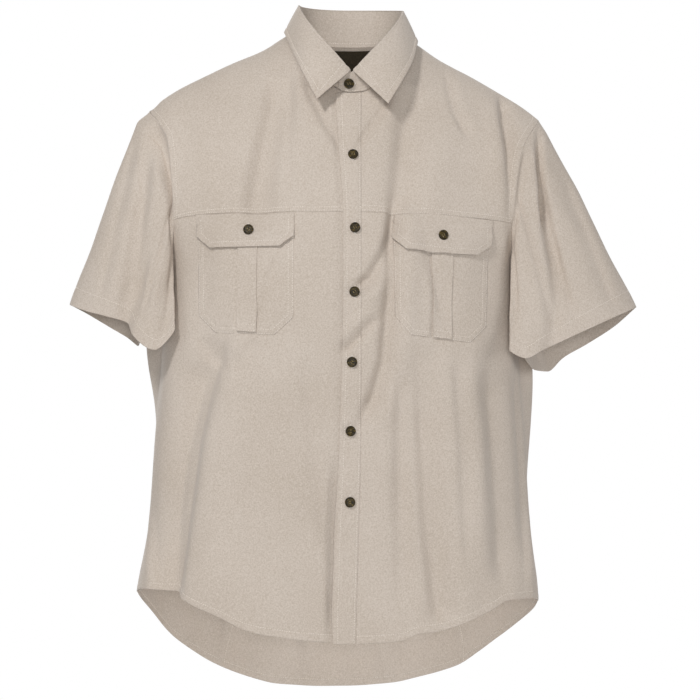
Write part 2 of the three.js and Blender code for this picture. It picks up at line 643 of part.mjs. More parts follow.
// The neck label, inside the back yoke
const labelOutline = [
  [LABEL.left, LABEL.bottom], [LABEL.right, LABEL.bottom], [LABEL.right, LABEL.top], [LABEL.left, LABEL.top],
];
const yokeBack = rowsOf(back, yokeRow, backRows.length - 1);
add('neck_label', onPanel(yokeBack, -WALL - SEAM, -WALL - SEAM - THIN, labelOutline, true), LABEL_CLOTH);

// Sleeves: a ring of points round the armhole, drawn down to the hem
const periodic = (rows) => [
  ...rows.slice(-2).map((row) => ({ ...row, turn: row.turn - 1 })),
  ...rows,
  ...rows.slice(0, 3).map((row) => ({ ...row, turn: row.turn + 1 })),
];

// The armhole from the shoulder tip by the front to the armpit and up the back, and the panels' normals
function armholeRing(name) {
  const side = name === 'right' ? -1 : 1;
  const front = fronts[name];
  const end = side < 0 ? 0 : backColumns.length - 1;
  const nodes = [];
  for (let i = frontRows.length - 1; i >= GRID.hem; i -= 1) {
    nodes.push({ p: front.points[i][GRID.across], n: front.normals[i][GRID.across] });
  }
  for (let i = GRID.hem + 1; i < backRows.length - 1; i += 1) {
    nodes.push({ p: back.points[i][end], n: back.normals[i][end] });
  }
  const armpit = frontRows.length - 1 - GRID.hem;
  const ring = nodes.flatMap((node, k) => {
    const next = nodes[(k + 1) % nodes.length];
    const half = { p: node.p.clone().lerp(next.p, 0.5), n: node.n.clone().add(next.n).normalize() };
    return [{ p: node.p.clone(), n: node.n.clone() }, half];
  });
  const lengths = ring.map((node, k) => node.p.distanceTo(ring[(k + 1) % ring.length].p));
  const total = (from, to) => lengths.slice(from, to).reduce((sum, length) => sum + length, 0);
  const [front0, back0] = [total(0, armpit * 2), total(armpit * 2)];
  ring.forEach((node, k) => {
    const first = k <= armpit * 2;
    node.turn = first ? (UNDERARM * total(0, k)) / front0 : UNDERARM + ((1 - UNDERARM) * total(armpit * 2, k)) / back0;
    const along = ring[(k + 1) % ring.length].p.clone().sub(ring[(k + ring.length - 1) % ring.length].p);
    node.out = along.cross(node.n).multiplyScalar(-side).normalize();
  });
  return ring;
}

// Moves a point of a sleeve out until it is clear of the body's side
function clearOfBody(point, side) {
  const need = SLEEVE_CLEAR * smooth((ARMPIT - point.z) / CLEAR_RAMP);
  if (need <= 0) return point;
  const centre = vec(middleAt(point.z), 0, point.z);
  const angleOf = (p) => Math.atan2(side * (p.x - centre.x), -p.y);
  const goal = angleOf(point);
  let [low, high] = [0, 180];
  for (let k = 0; k < 24; k += 1) {
    const turn = (low + high) / 2;
    if (angleOf(ringPoint(side, turn, point.z)) < goal) low = turn;
    else high = turn;
  }
  const reach = ringPoint(side, low, point.z).distanceTo(centre) + need * CLEAR_SLANT;
  const from = point.clone().sub(centre);
  return from.length() < reach ? centre.addScaledVector(from.normalize(), reach) : point;
}

function sleeveGrid(name) {
  const side = name === 'right' ? -1 : 1;
  const hem = periodic(SLEEVE_HEM[name]);
  const fold = SLEEVE_FOLDS[name];
  const ring = armholeRing(name);
  const shares = series(GRID.ring, 0, 1);
  const rowAt = (w, gaps) => ring.map((node, k) => {
    const to = vec(...['x', 'y', 'z'].map((key) => column(hem, 'turn', node.turn, key)));
    const start = node.p.clone().addScaledVector(node.out, gaps[k]);
    const point = start.lerp(to, w);
    const top = Math.max(0, Math.cos(2 * Math.PI * node.turn));
    const out = SLEEVE_CAP[name] * smooth(w / SLEEVE_CAP.full) * (1 - w) * top;
    point.addScaledVector(vec(side * CAP_WAY.out, 0, CAP_WAY.up), out);
    const near = (node.turn - mix(fold.start, fold.turn, w)) / fold.width;
    point.y += fold.depth * Math.exp(-(near ** 2)) * smooth((w - fold.from) / FOLD_RAMP);
    return w > 0 ? clearOfBody(point, side) : point;
  });
  const plain = ring.map(() => SEAM);
  const draft = shares.map((w) => rowAt(w, plain));
  const normals = ringNormals(draft, side);
  const gaps = ring.map((node, k) => SEAM + Math.max(0, WALL * normals[0][k].dot(node.out)));
  const points = shares.map((w) => rowAt(w, gaps));
  return { points, normals: ringNormals(points, side) };
}

function ringNormals(points, side) {
  return normalsOf(points, true).map((row) => row.map((n) => n.multiplyScalar(side)));
}

for (const name of ['right', 'left']) add(`sleeve_${name}`, wallOf(sleeveGrid(name), 0, -WALL, true), CLOTH);

// The collar runs from the wearer's right front by the back to the left front. Each place on it has a
// side, degrees round from that shoulder (-90 the centre back, 90 the centre front) and a foot on the seam.
function collarPlaces() {
  const nodes = [];
  const seamRow = chestRow + GRID.chest;
  const roundAt = (side, x, behind) => {
    const round = THREE.MathUtils.radToDeg(Math.acos(clamp((side * x) / NECK.half, -1, 1)));
    return behind ? -round : round;
  };
  const put = (side, point, behind) => nodes.push({ side, round: roundAt(side, point.x, behind), foot: point });
  for (let i = seamRow; i < frontRows.length; i += 1) put(-1, fronts.right.points[i][0], false);
  const top = back.points.at(-1);
  const centre = GRID.neck + GRID.across;
  for (let j = centre - GRID.neck + 1; j < centre + GRID.neck; j += 1) put(j < centre ? -1 : 1, top[j], true);
  for (let i = frontRows.length - 1; i >= seamRow; i -= 1) put(1, fronts.left.points[i][0], false);
  const end = -STAND_TAB.left;
  const under = fronts.right.points.slice(seamRow, seamRow + 4).map((row) => row[0]);
  for (const [a, b] of [[under[0], under[1]], [under[1], under[2]]]) {
    if (a.x > end) put(1, a.clone().lerp(b, clamp((a.x - end) / (a.x - b.x))), false);
  }
  return nodes.flatMap((node, k) => {
    const next = nodes[k + 1];
    if (!next) return [node];
    const half = { side: node.side, round: (node.round + next.round) / 2, foot: node.foot.clone().lerp(next.foot, 0.5) };
    if (node.side !== next.side) return [node];
    return [node, half];
  });
}

// The way out from the neck, level, at one place
const awayAt = ({ side, round }) => {
  const angle = rad(Math.min(round, 90));
  return vec((side * Math.cos(angle)) / FOLD.half, -Math.sin(angle) / -FOLD.front, 0).normalize();
};
const lapAt = ({ side, round }) => (side > 0 ? STAND_TAB.over * smooth((round - LAP.from) / LAP.over) : 0);

function foldPoint(place) {
  const { side, round } = place;
  const angle = rad(round);
  const top = mix(FOLD.top[nameOf(side)], FOLD.centre, Math.max(0, -Math.sin(angle)));
  const x = FOLD.middle * smooth(round / 90) + side * FOLD.half * Math.cos(angle);
  const y = round <= 0 ? -FOLD.back * Math.sin(angle) : FOLD.front * Math.sin(Math.min(angle, Math.PI / 2));
  const rise = clamp(round / 90) ** FOLD.ease;
  return vec(x, y - lapAt(place), mix(top, FOLD.fall, rise));
}

// The stand rises from the neck seam to the fold, its left end lapping over its right
function standPoint(place, up) {
  const foot = place.foot.clone();
  const head = foldPoint(place);
  foot.z += SEAM + 0.1;
  foot.y -= lapAt(place);
  head.z -= STAND_DROP;
  return foot.lerp(head, up);
}

const places = collarPlaces();
const standGrid = gridOf(series(3, 0, 1), places, (place, up) => standPoint(place, up));
add('collar_stand', wallOf(flipped(standGrid), 0, -WALL), CLOTH);

const leafArch = (round) => mix(LEAF_ARCH.side, LEAF_ARCH.front, smooth(Math.abs(round) / 60));

// The leaf rolls over the stand's top edge and falls to its outer edge
const ROLL = WALL + 2 * SEAM;
function leafPoint(place, down) {
  const { side, round } = place;
  const name = nameOf(side);
  const away = awayAt(place);
  const head = foldPoint(place);
  const roll = rad(90 * clamp(1 + down / LEAF_ROLL));
  head.addScaledVector(away, ROLL * Math.sin(roll));
  head.z += ROLL * Math.cos(roll);
  if (down <= 0) return head;
  const edge = vec(
    side * column(LEAF_EDGE, 'turn', round, name),
    column(LEAF_EDGE, 'turn', round, 'y') - lapAt(place),
    column(LEAF_EDGE, 'turn', round, `${name}Z`),
  );
  return head.lerp(edge, down).addScaledVector(away, leafArch(round) * Math.sin(Math.PI * down ** ARCH_PEAK));
}

const leafEnd = { round: 90 - THREE.MathUtils.radToDeg(LEAF_END / FOLD.half) };
const leafPlaces = places.filter(({ round }) => round < leafEnd.round);
leafPlaces.unshift({ side: -1, round: leafEnd.round });
leafPlaces.push({ side: 1, round: leafEnd.round });
const leafRows = joined([-LEAF_ROLL, -LEAF_ROLL / 2, 0], series(GRID.leaf, 0, 1));
const leafGrid = gridOf(leafRows, leafPlaces, (place, down) => leafPoint(place, down));
add('collar_leaf', wallOf(leafGrid, 0, -WALL), CLOTH);

// Buttons: a turned disc with a rim and four holes, lying on what it fastens
function buttonShape() {
  const { radius, height, rim, dish, hole, spread, sides } = BUTTON;
  const profile = [
    [0, 0], [radius * SEAT, 0], [radius, height * 0.45], [radius - rim * 0.35, height],
    [radius - rim, height], [radius - rim * 1.6, height - dish], [0, height - dish],
  ];
  const disc = new THREE.LatheGeometry(profile.map(([r, y]) => new THREE.Vector2(r, y)), sides);
  disc.rotateX(Math.PI / 2);
  let solid = toManifold(disc);
  for (const [x, y] of [[1, 1], [1, -1], [-1, 1], [-1, -1]]) {
    const drill = new THREE.CylinderGeometry(hole, hole, height * 3, 6).rotateX(Math.PI / 2);
    drill.translate(x * spread, y * spread, 0);
    solid = solid.subtract(toManifold(drill));
  }
  return fromManifold(solid);
}

const buttonGeometry = buttonShape();
function addButton(name, point, normal, out) {
  const mesh = add(name, buttonGeometry, HORN);
  mesh.quaternion.setFromUnitVectors(vec(0, 0, 1), normal);
  mesh.position.copy(point).addScaledVector(normal, out);
}

// Where a button lands on a piece: above the highest of five places, square to them
function onPiece(name, carrier, [x, z]) {
  carrier.updateMatrixWorld(true);
  const landing = (dx, dz) => {
    const ray = new THREE.Raycaster(vec(x + dx, -REACH, z + dz), vec(0, 1, 0));
    return ray.intersectObject(carrier)[0].point;
  };
  const spread = BUTTON.radius * SEAT;
  const [centre, left, right, low, high] = [[0, 0], [-1, 0], [1, 0], [0, -1], [0, 1]].map(
    ([dx, dz]) => landing(dx * spread, dz * spread),
  );
  const normal = right.clone().sub(left).cross(high.clone().sub(low)).normalize();
  const rise = Math.max(...[left, right, low, high].map((p) => p.clone().sub(centre).dot(normal)));
  addButton(name, centre, normal, Math.max(0, rise) + LEVELS.button);
}

// The stand's button lies on the left end's tab, at the centre front
const tabUp = (STAND_BUTTON[1] - NECK.front) / (FOLD.fall - NECK.front);
const past = places.findIndex(({ side, foot }) => side > 0 && foot.x < STAND_BUTTON[0]);
const [tabA, tabB] = [places[past - 1], places[past]];
const tabShare = (tabA.foot.x - STAND_BUTTON[0]) / (tabA.foot.x - tabB.foot.x);
const tabPoint = standPoint(tabA, tabUp).lerp(standPoint(tabB, tabUp), tabShare);
const tabOut = standPoint(tabA, 1).sub(standPoint(tabA, 0)).cross(standPoint(tabB, 0).sub(standPoint(tabA, 0)));
tabOut.normalize();
if (tabOut.y > 0) tabOut.negate();
addButton('button_0', tabPoint, tabOut, LEVELS.button);
const piece = (name) => meshes.find((mesh) => mesh.name === name);
BUTTONS.forEach((place, k) => onPiece(`button_${k + 1}`, piece('placket'), place));
for (const name of ['right', 'left']) onPiece(`flap_button_${name}`, piece(`pocket_flap_${name}`), POCKETS[name].button);

const shirt = new THREE.Group();
shirt.add(...meshes);
export default shirt;
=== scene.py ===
import math
from collections import defaultdict

import bmesh
import bpy
import numpy as np
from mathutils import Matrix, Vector


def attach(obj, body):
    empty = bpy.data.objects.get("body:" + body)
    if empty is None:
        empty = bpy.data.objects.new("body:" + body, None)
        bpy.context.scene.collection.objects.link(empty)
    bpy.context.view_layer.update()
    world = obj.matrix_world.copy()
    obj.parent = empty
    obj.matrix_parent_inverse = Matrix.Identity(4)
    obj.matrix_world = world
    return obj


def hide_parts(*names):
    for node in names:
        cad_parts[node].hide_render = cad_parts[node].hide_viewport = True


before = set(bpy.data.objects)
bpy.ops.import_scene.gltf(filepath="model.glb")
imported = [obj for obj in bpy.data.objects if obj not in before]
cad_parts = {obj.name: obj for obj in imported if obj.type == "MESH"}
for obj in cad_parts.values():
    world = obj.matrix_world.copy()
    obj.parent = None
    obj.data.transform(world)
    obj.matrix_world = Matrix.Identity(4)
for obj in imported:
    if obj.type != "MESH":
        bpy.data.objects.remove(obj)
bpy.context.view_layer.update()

MM = 0.001
SIDES = {"right": -1, "left": 1}


def table(names, *rows):
    return dict(zip(names.split(), np.array(rows, float).T))


# The body as a ring at each height: half its width, and where its middle lies
GIRTH = table(
    "height half middle",
    (-800, 252, -19), (-668, 249, -17.5), (-586, 237, -14.5), (-473, 229, -14), (-366, 219.5, -14),
    (-275, 212, -12), (-200, 212, -10), (-70, 212, -8.5), (60, 212, 0),
)
FULLNESS = 2.3
FRONT = {"depth": 128, "rise": 350, "round": 1.6}
BACK = {"depth": 130, "rise": 300, "round": 1.8}
FLARE = {"from": -275, "rise": 200, "out": 110}
BULGE = {"peak": 107, "end": 165, "fade": -345, "top": -285}
BULGE_SHARE = {"right": 0.165, "left": 0.127}
BULGE_FULL = {"right": -330, "left": -370}
BULGE_GONE = {"right": -515, "left": -610}

# The shoulder line, from the neck out
SHOULDER = table(
    "across right left",
    (0, 50, 50), (40, 42, 40), (68, 31, 22), (84, 21, 11), (110, 5, -7), (148, -11, -27),
    (186, -29, -49), (212, -42, -65), (234, -56, -82), (250, -69, -96),
)

# The armhole seam, from the armpit (share 0) to the shoulder tip (share 1)
ARMPIT = -275
TIP = {"right": -69, "left": -81}
ARMHOLE = table(
    "share right left",
    (0, 224, 200), (0.17, 218, 197), (0.33, 216, 197), (0.5, 218, 201), (0.67, 221, 205),
    (0.83, 226, 213), (0.93, 238, 224), (1, 249, 232),
)
ARMPIT_ROW = -272
NECK = {"half": 68, "right": 31, "left": 22, "front": -53, "back": 14}
ROUNDING = 1.6
NECK_SHARE = 0.25
CROSSING = {"kept": 0.4, "ramp": 20}
SIDE_BOTTOM = -665

# Seams across the panels, at the centre and as a share of the armhole, and how they bend
FRONT_ROWS = table(
    "centre share right left",
    (ARMPIT_ROW, 0, 1, 1), (-200, 0.33, 5, 1.3), (NECK["front"], 0.82, 1, 1), (NECK["front"], 1, 1, 1),
)
BACK_ROWS = table("centre share", (ARMPIT_ROW, 0), (-96, 0.76), (NECK["back"], 1))

# Where the side seam lies, in degrees round from the centre front
SIDE_SEAM = table(
    "height right left",
    (-800, 68, 75), (-660, 68, 75), (-600, 82, 85), (-550, 90, 90), (-275, 90, 90),
)

# The hems, by degrees round from the centre front or from the centre back
FRONT_HEM = table(
    "turn right left",
    (0, -717, -718), (12, -713, -715), (17, -710, -707), (24, -704, -704), (33, -688, -695),
    (47, -668, -678), (54, -658, -670), (90, -658, -670),
)
BACK_HEM = table(
    "turn right left",
    (0, -798, -798), (14, -795, -793), (21, -788, -786), (35, -767, -769), (44, -749, -749),
    (53, -730, -730), (68, -694, -704), (80, -676, -688), (90, -666, -677), (112, -658, -670),
)

# The placket: its free edge and its sewn edge, by height
PLACKET = table(
    "height free sewn",
    (-735, -22, 6), (-593, -18, 9), (-474, -14, 12), (-306, -9.5, 12.5), (-200, -9.5, 12.5),
    (-125, -14.5, 12.5), (-56, -18, 13), (60, -18, 13),
)

# The folds, each a run of points across and up, with how deep and wide its trough is and how much of
# that stands up again as a ridge, on the +X side of the run if positive and on the -X side if negative
FRONT_FOLDS = (
    (((-103, -30), (-106, -72), (-113, -102), (-120, -138), (-126, -172), (-130, -205)), 12, 21, 0.2),
    (((-81, -24), (-79, -79), (-80, -132), (-77, -192)), 2.5, 8, 0.4),
    (((-60, -30), (-53, -55), (-35, -91), (-16, -124)), 4, 8, -0.4),
    (((44, -52), (30, -80), (18, -97), (1, -124)), 3.5, 7, 0.5),
    (((68, -40), (60, -84), (55, -126), (50, -168), (45, -201)), 12, 23, 0.2),
    (((48, -188), (43, -222), (35, -249), (20, -275), (1, -289)), 10, 11, 0.5),
    (((46, -206), (45, -252), (40, -294), (37, -342), (34, -378), (22, -420), (8, -447)), 12, 13, 0.4),
    (((-6, -371), (13, -352), (35, -330)), 6, 8, 0.5),
    (((54, -378), (53, -486), (54, -665)), 9, 17, 0.3),
    (((76, -390), (82, -498), (86, -582), (97, -666), (102, -696)), 14, 19, 0.3),
    (((162, -385), (168, -475), (174, -555), (178, -658)), 16, 32, 0.2),
    (((-221, -655), (-216, -561), (-206, -488), (-188, -425), (-174, -385)), 8, 20, 0.1),
    (((-213, -680), (-208, -640), (-196, -560), (-184, -476), (-170, -420), (-150, -355)), 17, 23, -0.2),
    (((183, -50), (184, -80), (190, -121), (194, -170), (196, -209)), 10, 10, -0.3),
    (((196, -195), (198, -255), (200, -317), (203, -378)), 6, 9, -0.3),
    (((115, -26), (118, -50), (124, -77), (142, -110)), 3.5, 8, 0.5),
    (((-190, -352), (-175, -380), (-151, -394), (-128, -384)), 4, 16, 0.2),
    (((-119, -352), (-131, -368), (-143, -388)), 2.5, 11, 0.2),
    (((-64, -380), (-57, -430), (-51, -486), (-42, -557), (-35, -617)), 4, 13, 0.4),
    (((-24, -500), (-27, -617), (-29, -700)), 8, 7, 0.2),
    (((122, -376), (128, -470), (136, -640)), 3.5, 12, 0.4),
    (((86, -246), (96, -280), (104, -325)), 3.5, 12, 0.3),
    (((-92, -250), (-104, -285), (-115, -330)), 2.5, 8, 0.3),
    (((206, -390), (212, -480), (214, -600)), 4, 14, -0.3),
)
BACK_FOLDS = (
    (((-150, -100), (-150, -400), (-158, -600), (-166, -765)), 6, 11, 0.5),
    (((132, -100), (130, -400), (132, -600), (134, -765)), 6, 11, -0.5),
    (((-70, -330), (-60, -480), (-66, -640), (-60, -790)), 8, 20, 0.4),
    (((48, -420), (40, -560), (34, -700), (36, -790)), 8, 19, 0.4),
    (((-190, -330), (-205, -470), (-200, -620)), 8, 15, 0.4),
    (((170, -330), (182, -480), (176, -640)), 8, 15, -0.4),
    (((-180, -120), (-150, -200), (-95, -260)), 4.5, 17, 0.3),
    (((165, -130), (135, -205), (80, -260)), 4.5, 17, -0.3),
    (((-10, -150), (-14, -300), (-8, -470)), 4, 16, 0.4),
    (((90, -280), (96, -420), (88, -600)), 4.5, 14, 0.4),
    (((-110, -300), (-104, -440), (-112, -620)), 4.5, 14, -0.4),
    (((-104, -118), (-98, -200), (-84, -300)), 3.5, 10, 0.5),
    (((74, -112), (70, -190), (60, -290)), 3.5, 10, -0.5),
    (((-60, 4), (-76, -40), (-100, -84)), 2.5, 9, 0.4),
    (((60, -4), (78, -46), (104, -86)), 2.5, 9, -0.4),
)
CALM = {"side": 9, "front_top": 2.5, "back_top": 1.5}
FOLD_ENDS = {"ramp": 4, "start": 0.35}
RIDGE = {"off": 1.5, "wide": 1.1}
FOLD_LEAN = {"off": 0.4, "steep": 0.55, "easy": 1.25}

# A slow unevenness of the whole cloth, as waves: how long across, how long up, how high, where it starts
WAVES = (
    (88, 410, 0.55, 0.3), (61, -290, 0.35, 2.1), (133, 260, 0.5, 4.0), (43, 350, 0.22, 1.2),
    (-71, 190, 0.25, 5.2), (29, -240, 0.12, 0.7), (97, -130, 0.3, 3.3), (-37, 150, 0.14, 2.7),
)

# The sleeve hems, round from the outer corner by the front
SLEEVE_HEM = {
    "right": table(
        "turn x y z",
        (0, -349, 0, -310), (0.09, -326, -34, -318), (0.18, -299, -48, -325), (0.27, -274, -52, -333),
        (0.32, -266, -66, -348), (0.41, -238, -80, -366), (0.47, -214, -80, -340),
        (0.54, -228, -58, -331), (0.62, -246, -28, -336), (0.7, -260, 0, -350), (0.77, -266, 26, -361),
        (0.84, -282, 46, -350), (0.91, -306, 50, -336), (0.96, -332, 34, -320),
    ),
    "left": table(
        "turn x y z",
        (0, 354, 0, -313), (0.09, 332, -36, -322), (0.18, 300, -54, -336), (0.29, 260, -66, -354),
        (0.36, 232, -78, -367), (0.41, 212, -86, -376), (0.46, 192, -86, -366), (0.53, 204, -64, -362),
        (0.6, 216, -40, -380), (0.67, 228, -8, -391), (0.75, 246, 26, -393), (0.82, 268, 44, -375),
        (0.89, 298, 50, -358), (0.95, 332, 34, -335),
    ),
}
SLEEVE_CAP = {"right": 9.5, "left": 1.5, "full": 0.08, "out": 0.93, "up": 0.37}
SLEEVE_CLEAR = 3.5
CLEAR_SLANT = 1.2
SLEEVE_GAP = 0.05
UNDERARM = 0.58
SLEEVE_FOLDS = {
    "right": {"start": 0.08, "turn": 0.27, "width": 0.035, "depth": 5, "from": 0.05},
    "left": {"start": 0.1, "turn": 0.33, "width": 0.03, "depth": 7, "from": 0.02},
}
# Smaller creases of the sleeves: runs of points by turn and share down, how deep and how wide in mm
SLEEVE_CREASES = {
    "right": (
        (((0.30, 0.0), (0.315, 0.35), (0.33, 0.8)), 3, 8, 0.5),
        (((0.06, 0.1), (0.12, 0.3), (0.2, 0.58), (0.27, 0.9)), 4, 20, 0.2),
        (((0.02, 0.15), (0.07, 0.55), (0.12, 0.95)), 2.2, 12, 0.4),
        (((0.42, 0.15), (0.43, 0.5), (0.42, 0.95)), 3, 8, 0.4),
        (((0.66, 0.1), (0.69, 0.5), (0.73, 0.95)), 4.5, 11, 0.4),
        (((0.8, 0.0), (0.81, 0.5), (0.84, 0.95)), 4, 12, -0.4),
        (((0.93, 0.1), (0.92, 0.5), (0.93, 0.9)), 2.5, 13, 0.4),
    ),
    "left": (
        (((0.016, 0.0), (0.06, 0.08), (0.109, 0.17), (0.155, 0.29), (0.18, 0.37)), 10, 9, 0.4),
        (((0.14, 0.24), (0.18, 0.38), (0.205, 0.6), (0.225, 0.9)), 7, 14, 0.3),
        (((0.27, 0.0), (0.285, 0.4), (0.3, 0.85)), 3, 8, 0.5),
        (((0.03, 0.3), (0.06, 0.6), (0.09, 0.95)), 2.4, 12, -0.4),
        (((0.4, 0.12), (0.42, 0.5), (0.44, 0.9)), 3, 8, 0.4),
        (((0.65, 0.1), (0.68, 0.5), (0.72, 0.95)), 4.5, 11, 0.4),
        (((0.8, 0.0), (0.81, 0.5), (0.83, 0.95)), 4, 12, -0.4),
        (((0.93, 0.1), (0.91, 0.5), (0.92, 0.9)), 2.5, 13, 0.4),
    ),
}
# The sleeve sinks in beside its seam: between which turns, how deep and over how much of its length
SEAM_VALLEY = {
    "right": {"from": 0.05, "to": 0.42, "deep": 13, "at": 0.06, "wide": 0.055},
    "left": {"from": 0.12, "to": 0.42, "deep": 4, "at": 0.05, "wide": 0.05},
}

# The collar: its fold line, and the leaf's outer edge by degrees round from the side
FOLD = {"half": 64, "front": -82, "back": 62, "right": 60, "left": 53, "centre": 60.5, "fall": -30,
        "ease": 1.35, "middle": 1}
LEAF_EDGE = table(
    "turn right rightZ left leftZ y",
    (-90, 0, 13, 0, 13, 82), (-60, 45, 16, 45, 12, 74), (-30, 76, 25, 76, 15, 42), (0, 83, 27, 83, 16, -8),
    (30, 71, -2, 76, -12, -56), (60, 56, -34, 61, -42, -88), (90, 41, -63, 45, -69, -101),
)
LEAF_ARCH = {"front": 4, "side": 0.5, "peak": 0.7}
LEAF_END = 1.5
LEAF_ROLL = {"share": 0.1, "out": 2.1}
STAND_TAB = {"left": 16, "over": 2.1, "from": 50, "ramp": 30}
STAND_DROP = -0.6
SEAM_LIFT = 0.4

# Pockets, flaps and the label as outlines across and up
POCKETS = {
    "right": {
        "bag": ((-187, -208), (-185, -325), (-166, -345), (-92, -348), (-69, -327), (-68, -208)),
        "pleat": ((-136, -225), (-136.5, -343.5), (-113, -344.5), (-112.5, -225)),
        "flap": ((-189, -201.5), (-187, -227.5), (-168, -242.5), (-84, -241.5), (-68, -229), (-68, -201.5)),
        "button": (-123.5, -221.5),
    },
    "left": {
        "bag": ((53.5, -206), (53.5, -326), (71, -348), (144, -357.5), (164, -338), (169, -212)),
        "pleat": ((98, -226), (98, -350.5), (121, -353.5), (122, -228)),
        "flap": ((55, -201.5), (53.5, -228.5), (66.5, -245), (121, -250.5), (151, -251), (169, -239),
                 (173, -209), (100, -201.5)),
        "button": (109.5, -228),
    },
}
LABEL = {"left": -21, "right": 25, "top": 11.5, "bottom": -20}
BUTTONS = ((2.4, -131), (4.8, -219.5), (4.8, -296.5), (1.2, -380.5), (-1.2, -463), (-1.2, -548))
STAND_BUTTON = (-2.4, -43)
BUTTON = {"radius": 6.3, "height": 2.6, "rim": 1.2, "dish": 0.9, "hole": 0.72, "spread": 1.35}

# The cloth and its sewing
CLOTH = 0.7
STITCH = {"pitch": 2.9, "length": 2.2, "wide": 0.58, "high": 0.42}


def smooth(t):
    t = np.clip(t, 0, 1)
    return t * t * (3 - 2 * t)


def mix(a, b, t):
    return a + (b - a) * t


def bell(off, wide):
    return np.exp(-((off / wide) ** 2))


def column(rows, key, at, value):
    """A column of a table at any place between its rows, on a smooth curve through them."""
    xs, ys = rows[key], rows[value]
    at = np.clip(at, xs[0], xs[-1])
    i = np.clip(np.searchsorted(xs, at, side="right") - 1, 0, len(xs) - 2)
    slope = np.diff(ys) / np.diff(xs)
    bends = np.zeros(len(xs))
    for k in range(1, len(xs) - 1):
        a, b = slope[k - 1], slope[k]
        bends[k] = 2 * a * b / (a + b) if a * b > 0 else 0
    width = xs[i + 1] - xs[i]
    t = (at - xs[i]) / width
    bend = bends[i] * width * t * (1 - t) ** 2 - bends[i + 1] * width * t * t * (1 - t)
    return mix(ys[i], ys[i + 1], t * t * (3 - 2 * t)) + bend


def by_side(side, values):
    return np.where(np.asarray(side) < 0, values["right"], values["left"])


def side_column(rows, key, at, side, tail=""):
    right, left = (column(rows, key, at, name + tail) for name in ("right", "left"))
    return np.where(np.asarray(side) < 0, right, left)


def middle_at(z):
    return column(GIRTH, "height", z, "middle")


def half_at(z):
    return column(GIRTH, "height", z, "half") + FLARE["out"] * smooth((z - FLARE["from"]) / FLARE["rise"])


def shoulder_at(x):
    return side_column(SHOULDER, "across", np.abs(x), x)


def side_bulge(side, turn, z):
    share, full, gone = (by_side(side, values) for values in (BULGE_SHARE, BULGE_FULL, BULGE_GONE))
    foot = smooth((z - gone) / (full - gone))
    tall = foot * (1 - smooth((z - BULGE["fade"]) / (BULGE["top"] - BULGE["fade"])))
    up = smooth((turn - 90) / (BULGE["peak"] - 90))
    down = 1 - smooth((turn - BULGE["peak"]) / (BULGE["end"] - BULGE["peak"]))
    return share * tall * np.minimum(up, down)


def ring_point(side, turn, z):
    """The body's surface, this many degrees round from the centre front, on one side, at one height."""
    power = 2 / FULLNESS
    sine, cosine = np.sin(np.radians(turn)), np.cos(np.radians(turn))
    wide = half_at(z) * np.sign(sine) * np.abs(sine) ** power * (1 + side_bulge(side, turn, z))
    x = middle_at(z) + side * wide
    depth, rise, rounding = (np.where(cosine > 0, FRONT[key], BACK[key]) for key in FRONT)
    rest = 1 - np.clip((shoulder_at(x) - z) / rise, 0, 1)
    y = -depth * np.sign(cosine) * np.abs(cosine) ** power * (1 - rest**rounding) ** (1 / rounding)
    return np.stack(np.broadcast_arrays(x, y, z), -1)


def unit(vectors):
    return vectors / np.maximum(np.linalg.norm(vectors, axis=-1, keepdims=True), 1e-9)


def ring_normal(side, turn, z):
    step = 0.5
    around = ring_point(side, turn + step, z) - ring_point(side, turn - step, z)
    up = ring_point(side, turn, z + step) - ring_point(side, turn, z - step)
    return unit(np.cross(around, up) * np.asarray(side)[..., None])


def turn_at(side, x, z, behind):
    share = np.clip(side * (x - middle_at(z)) / half_at(z), -1, 1)
    turn = np.degrees(np.arcsin(np.sign(share) * np.abs(share) ** (FULLNESS / 2)))
    return 180 - turn if behind else turn


def fold_depth(folds, x, z):
    """How deep the folds press in at each place, less what stands up beside them."""
    total = np.zeros(np.broadcast(x, z).shape)
    for run, depth, width, ridge in folds:
        near = np.full(total.shape, np.inf)
        along, over, past = (np.zeros(total.shape) for _ in range(3))
        last = len(run) - 2
        for i, ((ax, az), (bx, bz)) in enumerate(zip(run, run[1:])):
            dx, dz = bx - ax, bz - az
            long = math.hypot(dx, dz)
            t = ((x - ax) * dx + (z - az) * dz) / long**2
            beyond = np.where((i == 0) & (t < 0), -t, np.where((i == last) & (t > 1), t - 1, 0)) * long
            t = np.clip(t, 0, 1)
            ox, oz = x - mix(ax, bx, t), z - mix(az, bz, t)
            gap = np.hypot(ox, oz)
            across = (ox * -dz + oz * dx) / long
            closer = gap < near
            near = np.where(closer, gap, near)
            along = np.where(closer, (i + t) / (last + 1), along)
            over = np.where(closer, np.where(beyond > 0, across, np.sign(across) * gap), over)
            past = np.where(closer, beyond, past)
        ramp, start = FOLD_ENDS["ramp"], FOLD_ENDS["start"]
        taper = smooth(along * ramp + start) * smooth((1 - along) * ramp + start) * bell(past, width)
        off = over / width - FOLD_LEAN["off"]
        trough = bell(off, np.where(off < 0, FOLD_LEAN["steep"], FOLD_LEAN["easy"]))
        beside = bell(off * np.sign(ridge) - RIDGE["off"], RIDGE["wide"])
        total += depth * taper * (trough - abs(ridge) * beside)
    return total


def waviness(x, z):
    return sum(
        high * np.sin(2 * np.pi * (x / across + z / up) + start) for across, up, high, start in WAVES
    )


def folded(side, turn, z, behind, calm=1.0):
    """The surface with its folds and its slow unevenness."""
    point = ring_point(side, turn, z)
    x = point[..., 0]
    depth = fold_depth(BACK_FOLDS if behind else FRONT_FOLDS, x, z) + waviness(x, z)
    return point - (calm * depth)[..., None] * ring_normal(side, turn, z)


def armhole_height(side, share):
    return mix(ARMPIT, by_side(side, TIP), share)


def armhole_across(side, share):
    return side * side_column(ARMHOLE, "share", share, side)


